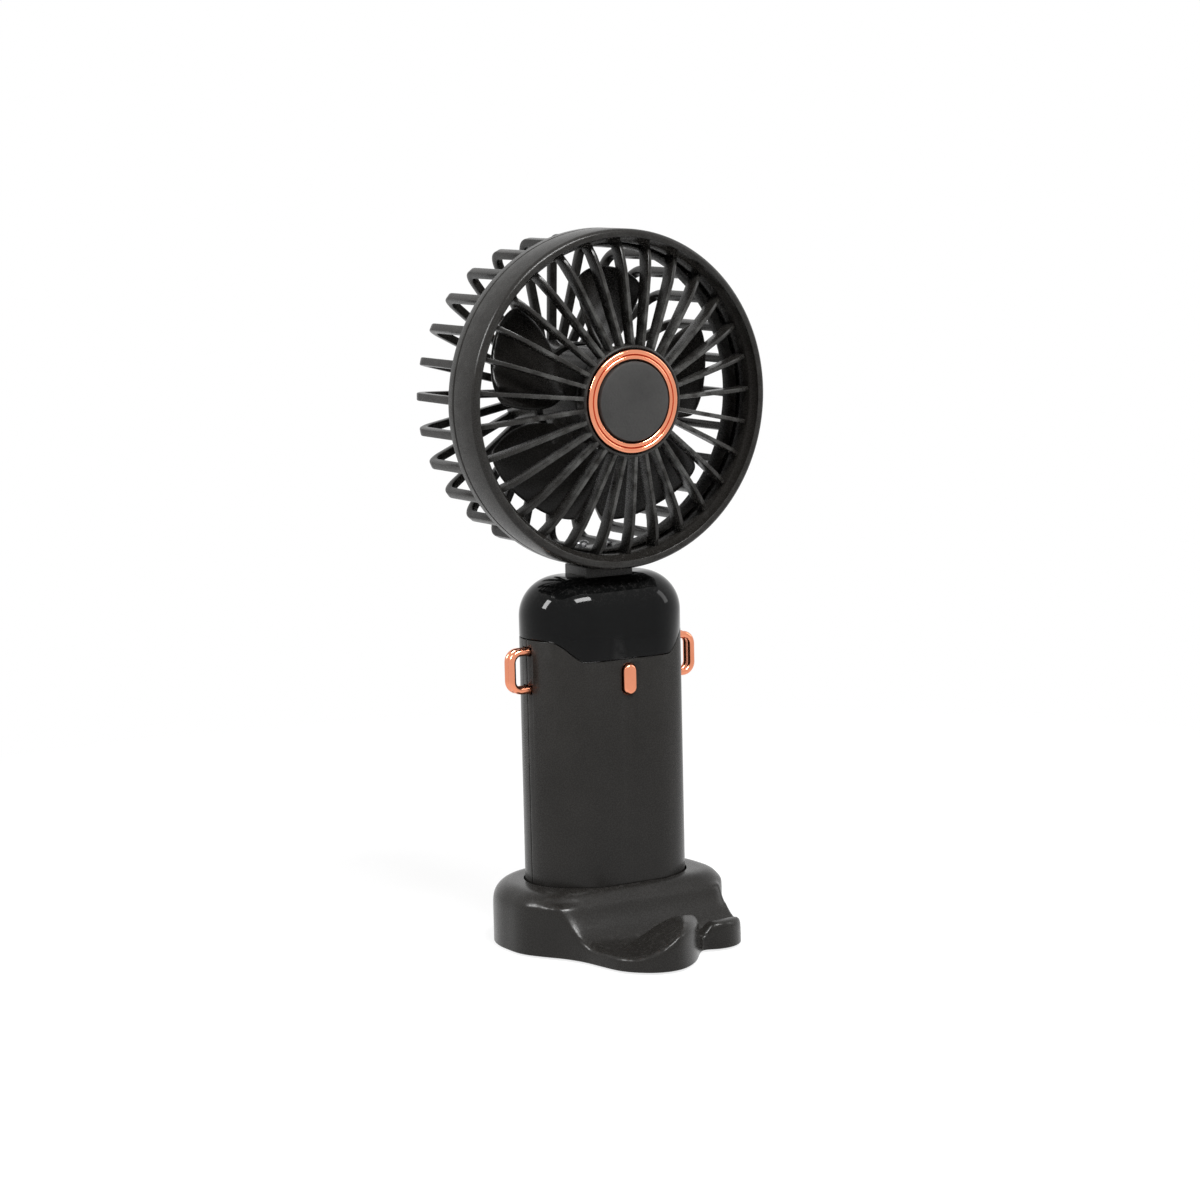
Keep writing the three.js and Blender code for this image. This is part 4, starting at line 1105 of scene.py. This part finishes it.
def screws_at(pattern, names, body, lead):
    """Puts a copy of the pattern at each node, turned from the depth to the way the node's screw points."""
    for name in names:
        low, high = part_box(name)
        middle = (low + high) / 2
        if lead == "y":
            placed = Matrix.Translation((middle.x, high.y, middle.z))
        else:
            placed = Matrix.Translation((middle.x, middle.y, high.z)) @ Matrix.Rotation(math.pi / 2, 4, "X")
        dress(copy_of(pattern, f"{name}_seen", placed), STEEL, body, "steel", name)
    bpy.data.objects.remove(pattern)


def all_screws():
    screws_at(screw_pattern("long_screw", 0.0204), [f"shell_screw_{i}" for i in range(1, 5)], "handle", "y")
    screws_at(screw_pattern("short_screw", 0.0054), [f"motor_screw_{i}" for i in range(1, 4)], "head", "y")
    screws_at(screw_pattern("neck_screw", 0.0134), ["neck_screw_left", "neck_screw_right"], "head", "z")


# ---- The dock ----

CORNER_X = dock_high.x - DOCK_CORNER
CORNER_Y = DOCK_CORNER - FRONT_FACE
COVE_CORNER_X = dock_high.x - COVE_CORNER

# Each point of the ledge's edge, left to right: across, and ahead of the body's front, in millimetres.
LEDGE_EDGE = [
    (-30.6, -3.7), (-27.6, 1), (-25, 7.6), (-23.6, 15), (-21.9, 22.6), (-18.3, 28), (-13, 31.5), (-7.2, 31.8),
    (-1.9, 29.2), (3.2, 24.6), (8, 18.6), (11.4, 15.5), (15.8, 17.1), (20.6, 16.9), (25, 14.2), (28.2, 9.6),
    (28.9, 6), (28.3, 2.6), (28.1, 0),
]


def on_curve(a, b, c, d, t):
    """A point of the smooth curve from b to c, between a and d."""
    bend = 2 * a - 5 * b + 4 * c - d
    twist = 3 * b - a - 3 * c + d
    return 0.5 * (2 * b + (c - a) * t + bend * t**2 + twist * t**3)


def foot_outline():
    """The dock's outline on the desk, as a smooth closed curve through its main points."""
    rear = handle_half_width - handle_half_depth
    corners = [
        *arc(rear, 0, DOCK_REAR_ROUND, 0, 90, 12), *arc(-rear, 0, DOCK_REAR_ROUND, 90, 180, 12),
        *arc(-CORNER_X, CORNER_Y, DOCK_CORNER, 180, 205, 4),
        *[(x / 1000, -FRONT_FACE - ahead / 1000) for x, ahead in LEDGE_EDGE],
        *arc(CORNER_X, CORNER_Y, DOCK_CORNER, -54, 0, 6),
    ]
    points = [Vector((x, y, 0)) for x, y in corners]
    count = len(points)
    smooth_points = []
    for i in range(count):
        a, b, c, d = (points[(i + k) % count] for k in (-1, 0, 1, 2))
        steps = max(2, round((c - b).length / 0.0016))
        smooth_points += [on_curve(a, b, c, d, k / steps) for k in range(steps)]
    return [p for i, p in enumerate(smooth_points) if (p - smooth_points[i - 1]).length > 0.0003]


def drawn_face(name, points):
    """A flat face whose outline is drawn point by point; it is left selected in edit mode."""
    bpy.ops.mesh.primitive_plane_add(size=0.001, location=points[0])
    piece = settle(name)
    edit()
    bpy.ops.mesh.select_mode(type="VERT")
    bpy.ops.mesh.select_all(action="SELECT")
    bpy.ops.mesh.merge(type="CENTER")
    bpy.ops.mesh.select_all(action="SELECT")
    for before, after in zip(points, points[1:]):
        bpy.ops.mesh.extrude_vertices_move(TRANSFORM_OT_translate={"value": after - before})
    bpy.ops.mesh.select_all(action="SELECT")
    bpy.ops.mesh.edge_face_add()
    bpy.ops.mesh.select_all(action="SELECT")
    return piece


def outlined_block(name, outline, low, high, inset=0.0):
    """An upright block: its outline is drawn point by point, filled and pulled up."""
    block = drawn_face(name, [Vector((p.x, p.y, low)) for p in outline])
    if inset:
        bpy.ops.mesh.select_mode(type="FACE")
        bpy.ops.mesh.select_all(action="SELECT")
        bpy.ops.mesh.inset(thickness=inset, use_boundary=True, use_even_offset=True)
        bpy.ops.mesh.select_all(action="INVERT")
        bpy.ops.mesh.delete(type="FACE")
    bpy.ops.mesh.select_all(action="SELECT")
    extrude((0, 0, high - low))
    weld()
    leave_edit()
    return block


def pulled_block(name, points, way):
    """A block whose face is drawn point by point and pulled out one way."""
    block = drawn_face(name, points)
    extrude(way)
    weld()
    leave_edit()
    return block


def upright(a, b):
    """Whether an edge from a to b stands upright."""
    return abs(a.x - b.x) < TINY and abs(a.y - b.y) < TINY


def dock_body():
    """The body round the socket: two large round corners behind, two smaller in front, a round top edge."""
    body = plain_box("dock_body", (dock_low.x, -FRONT_FACE, BELOW), (dock_high.x, dock_high.y, dock_high.z))
    only(body)
    edit()
    pick("EDGE", lambda a, b: upright(a, b) and a.y > 0)
    bpy.ops.mesh.bevel(offset=DOCK_REAR_ROUND - 0.00002, segments=28, affect="EDGES", clamp_overlap=False)
    pick("EDGE", lambda a, b: upright(a, b) and a.y < -FRONT_FACE + TINY)
    bpy.ops.mesh.bevel(offset=DOCK_CORNER, segments=20, affect="EDGES", clamp_overlap=False)
    leave_edit()
    round_level_edges(body, dock_high.z, DOCK_EDGE, 10)
    return body


def hollow(share):
    """How far the cove has risen at a share of its reach, before it is scaled to its full rise."""
    return 1 - math.sqrt(1 - (share * COVE_BEND) ** 2)


def cove():
    """The hollow slope from the body's front to the ledge, run along the front and round both corners."""
    slope = []
    for i in range(13):
        share = i / 12
        level = LEDGE_FLOOR + COVE_RISE * hollow(share) / hollow(1)
        slope.append((-FRONT_FACE - COVE_REACH * (1 - share), level))
    back = -FRONT_FACE + 0.004
    section = [(back, BELOW), (slope[0][0], BELOW), *slope, (back, slope[-1][1])]
    block = drawn_face("cove", [Vector((-COVE_CORNER_X, y, z)) for y, z in section])
    extrude((2 * COVE_CORNER_X, 0, 0))
    weld()
    for way in (1, -1):
        pick("FACE", lambda p, n: n.x * way > 0.9 and p.x * way > COVE_CORNER_X - TINY)
        centre = (way * COVE_CORNER_X, COVE_CORNER - FRONT_FACE, 0)
        bpy.ops.mesh.spin(steps=12, angle=math.pi / 2, center=centre, axis=(0, 0, -way))
    weld()
    leave_edit()
    return block


def lobe(name, across, rise, foot, crest):
    """A rising part of the ledge: its top climbs from the left, runs level and falls to the right, and
    behind it slopes down towards the body, from the crest to the foot."""
    start, climb_end, top_end, fall_end = across
    floor = LEDGE_FLOOR - 0.0004
    front = -FRONT_FACE - 0.036
    left = -0.04
    spare = 0.001
    top = []
    for i in range(33):
        x = start + (fall_end - start) * i / 32
        level = floor + rise * ramp(x, start, climb_end) * (1 - ramp(x, top_end, fall_end))
        top.append(Vector((x, front, level)))
    face = [Vector((start, front, BELOW)), *top, Vector((fall_end, front, BELOW))]
    block = pulled_block(name, face, (0, -FRONT_FACE - foot - front, 0))
    ahead = [foot + (crest - foot) * i / 12 for i in range(13)]
    slope = [(-FRONT_FACE - a, floor + (rise + spare) * ramp(a, foot, crest)) for a in ahead]
    high = floor + rise + spare
    side = [(slope[0][0], BELOW), *slope, (front - spare, high), (front - spare, BELOW)]
    side_face = [Vector((left, y, z)) for y, z in side]
    combine(block, pulled_block("slope", side_face, (0.1, 0, 0)), "INTERSECT")
    return block


def dock_shell():
    """The whole dock is sculpted as one lump, its joins worked soft, and then hollowed out from below."""
    outline = foot_outline()
    body = dock_body()
    foot = outlined_block("foot", outline, BELOW, LEDGE_FLOOR)
    rising = [
        cove(),
        lobe("long_lobe", across=(-0.021, 0.001, 0.0065, 0.0105), rise=0.0088, foot=0.0128, crest=0.0185),
        lobe("low_lobe", across=(0.0112, 0.015, 0.05, 0.051), rise=0.0044, foot=0.0092, crest=0.0135),
    ]
    tops = (dock_high.z, LEDGE_FLOOR + LONG_LOBE_TOP, LEDGE_FLOOR + LOW_LOBE_TOP)
    for block, top, edge in zip(rising, tops, (0, 0.0036, 0.002)):
        limit = outlined_block("limit", outline, BELOW, top)
        if edge:
            round_level_edges(limit, top, edge, 6)
        combine(block, limit, "INTERSECT")
    lump = join("dock_shell_seen", [body, foot, *rising])
    voxel = DOCK_VOXEL
    apply_modifier(lump, "REMESH", mode="VOXEL", voxel_size=voxel, use_smooth_shade=True)
    apply_modifier(lump, "SMOOTH", factor=0.5, iterations=round(SMOOTHING * (DOCK_VOXEL / voxel) ** 2))
    only(lump)
    edit()
    bisect((0, 0, dock_low.z), (0, 0, -1), clear_outer=True, fill=True)
    weld()
    leave_edit()
    socket_half_width = handle_half_width + SOCKET_CLEARANCE
    socket_half_depth = handle_half_depth + SOCKET_CLEARANCE
    combine(lump, stadium("socket", socket_half_width, socket_half_depth, SOCKET_FLOOR, 0.03), "DIFFERENCE")
    combine(lump, outlined_block("plate_pocket", outline, -0.002, PLATE_TOP, inset=PLATE_INSET), "DIFFERENCE")
    weight = stadium("weight_pocket", WEIGHT_HALF_WIDTH, WEIGHT_HALF_DEPTH, 0.0, WEIGHT_TOP)
    combine(lump, weight, "DIFFERENCE")
    return dress(lump, SATIN_BLACK, "dock", "satin_black", "dock_shell")


front_grille()
hub_trim_ring()
hub_badge()
rear_cage()
rear_hub_cover()
impeller()
top_cap()
front_shell()
rear_shell()
power_button()
lanyard_loop("loop_right", "lanyard_loop_right", False)
lanyard_loop("loop_left", "lanyard_loop_left", True)
neck_arm()
all_screws()
dock_shell()


# ---- Floor, light and camera ----

CAMERA_AZIMUTH = math.radians(-30.72)
CAMERA_ELEVATION = math.radians(8.09)
CAMERA_ROLL = math.radians(-1.29)
CAMERA_DISTANCE = 1.0625
CAMERA_LENS = 106.6
CAMERA_AIM = Vector((0.00016, -0.0001, 0.1021))


def direction(azimuth, elevation):
    """The way from the object towards a place round it: azimuth 0 is in front, 90 on its right."""
    return Vector(
        (
            math.sin(azimuth) * math.cos(elevation),
            -math.cos(azimuth) * math.cos(elevation),
            math.sin(elevation),
        )
    )


def add_camera():
    data = bpy.data.cameras.new("camera")
    data.lens = CAMERA_LENS
    data.sensor_width = 36
    data.clip_start, data.clip_end = 0.05, 20
    camera = bpy.data.objects.new("camera", data)
    bpy.context.scene.collection.objects.link(camera)
    back = direction(CAMERA_AZIMUTH, CAMERA_ELEVATION)
    camera.location = CAMERA_AIM + back * CAMERA_DISTANCE
    camera.rotation_mode = "QUATERNION"
    level = (-back).to_track_quat("-Z", "Y")
    camera.rotation_quaternion = level @ Quaternion((0, 0, 1), CAMERA_ROLL)
    bpy.context.scene.camera = camera


def seen_directly(tree):
    """1 for what the camera sees, straight or in a reflection or through glass."""
    path = tree.nodes.new("ShaderNodeLightPath").outputs
    mirrored = worked_out(tree, "MAXIMUM", path["Is Camera Ray"], path["Is Glossy Ray"])
    return worked_out(tree, "MAXIMUM", mirrored, path["Is Transmission Ray"])


def light_world(fill):
    """A white surround, which lights the object softly."""
    world = bpy.data.worlds.new("studio")
    bpy.context.scene.world = world
    world.use_nodes = True
    tree = world.node_tree
    surround = tree.nodes["Background"]
    surround.inputs["Color"].default_value = (1, 1, 1, 1)
    strength = spread(tree, seen_directly(tree), 0.0, 1.0, fill, 1.0)
    tree.links.new(strength, surround.inputs["Strength"])


def add_floor():
    """A white sweep that keeps the object's shadow."""
    bpy.ops.mesh.primitive_plane_add(size=30, location=(0, 0, -0.0002))
    floor = settle("floor")
    material = bpy.data.materials.new("white_floor")
    material.use_nodes = True
    tree = material.node_tree
    tree.nodes.clear()
    tones = {"colour": (0.97, 0.97, 0.97, 1), "other": (1, 1, 1, 1), "scale": 3.0}
    mottle = placed_group(tree, tone_drift, tones)
    paper = node(tree, "ShaderNodeBsdfDiffuse", {"Color": mottle.outputs["Colour"]})
    white = node(tree, "ShaderNodeEmission", {"Color": (1, 1, 1, 1), "Strength": 1.0})
    away = node(tree, "ShaderNodeVectorMath", {0: object_place(tree)}, operation="LENGTH")
    paleness = spread(tree, away.outputs["Value"], 0.1, 0.4, 0.8, 1.0)
    share = worked_out(tree, "MULTIPLY", seen_directly(tree), paleness)
    mixed = tree.nodes.new("ShaderNodeMixShader")
    tree.links.new(share, mixed.inputs[0])
    tree.links.new(paper.outputs[0], mixed.inputs[1])
    tree.links.new(white.outputs[0], mixed.inputs[2])
    out = tree.nodes.new("ShaderNodeOutputMaterial")
    tree.links.new(mixed.outputs[0], out.inputs["Surface"])
    floor.data.materials.append(material)


def add_lamp(name, azimuth, elevation, distance, width, height, power):
    """A soft box that faces the object."""
    data = bpy.data.lights.new(name, "AREA")
    data.shape = "RECTANGLE"
    data.size, data.size_y = width, height
    data.energy = power
    lamp = bpy.data.objects.new(name, data)
    bpy.context.scene.collection.objects.link(lamp)
    towards = direction(math.radians(azimuth), math.radians(elevation))
    lamp.location = Vector((0, 0, 0.1)) + towards * distance
    lamp.rotation_mode = "QUATERNION"
    lamp.rotation_quaternion = (-towards).to_track_quat("-Z", "Y")


finish_frame_nodes()
add_camera()
add_floor()
light_world(0.3)
add_lamp("top_box", 2, 55, 1.3, 0.7, 0.24, 26)
add_lamp("left_box", -100, 34, 1.3, 0.22, 0.5, 15)
add_lamp("right_box", 70, 25, 1.5, 0.3, 0.7, 3)
bpy.context.scene.view_settings.view_transform = "Standard"
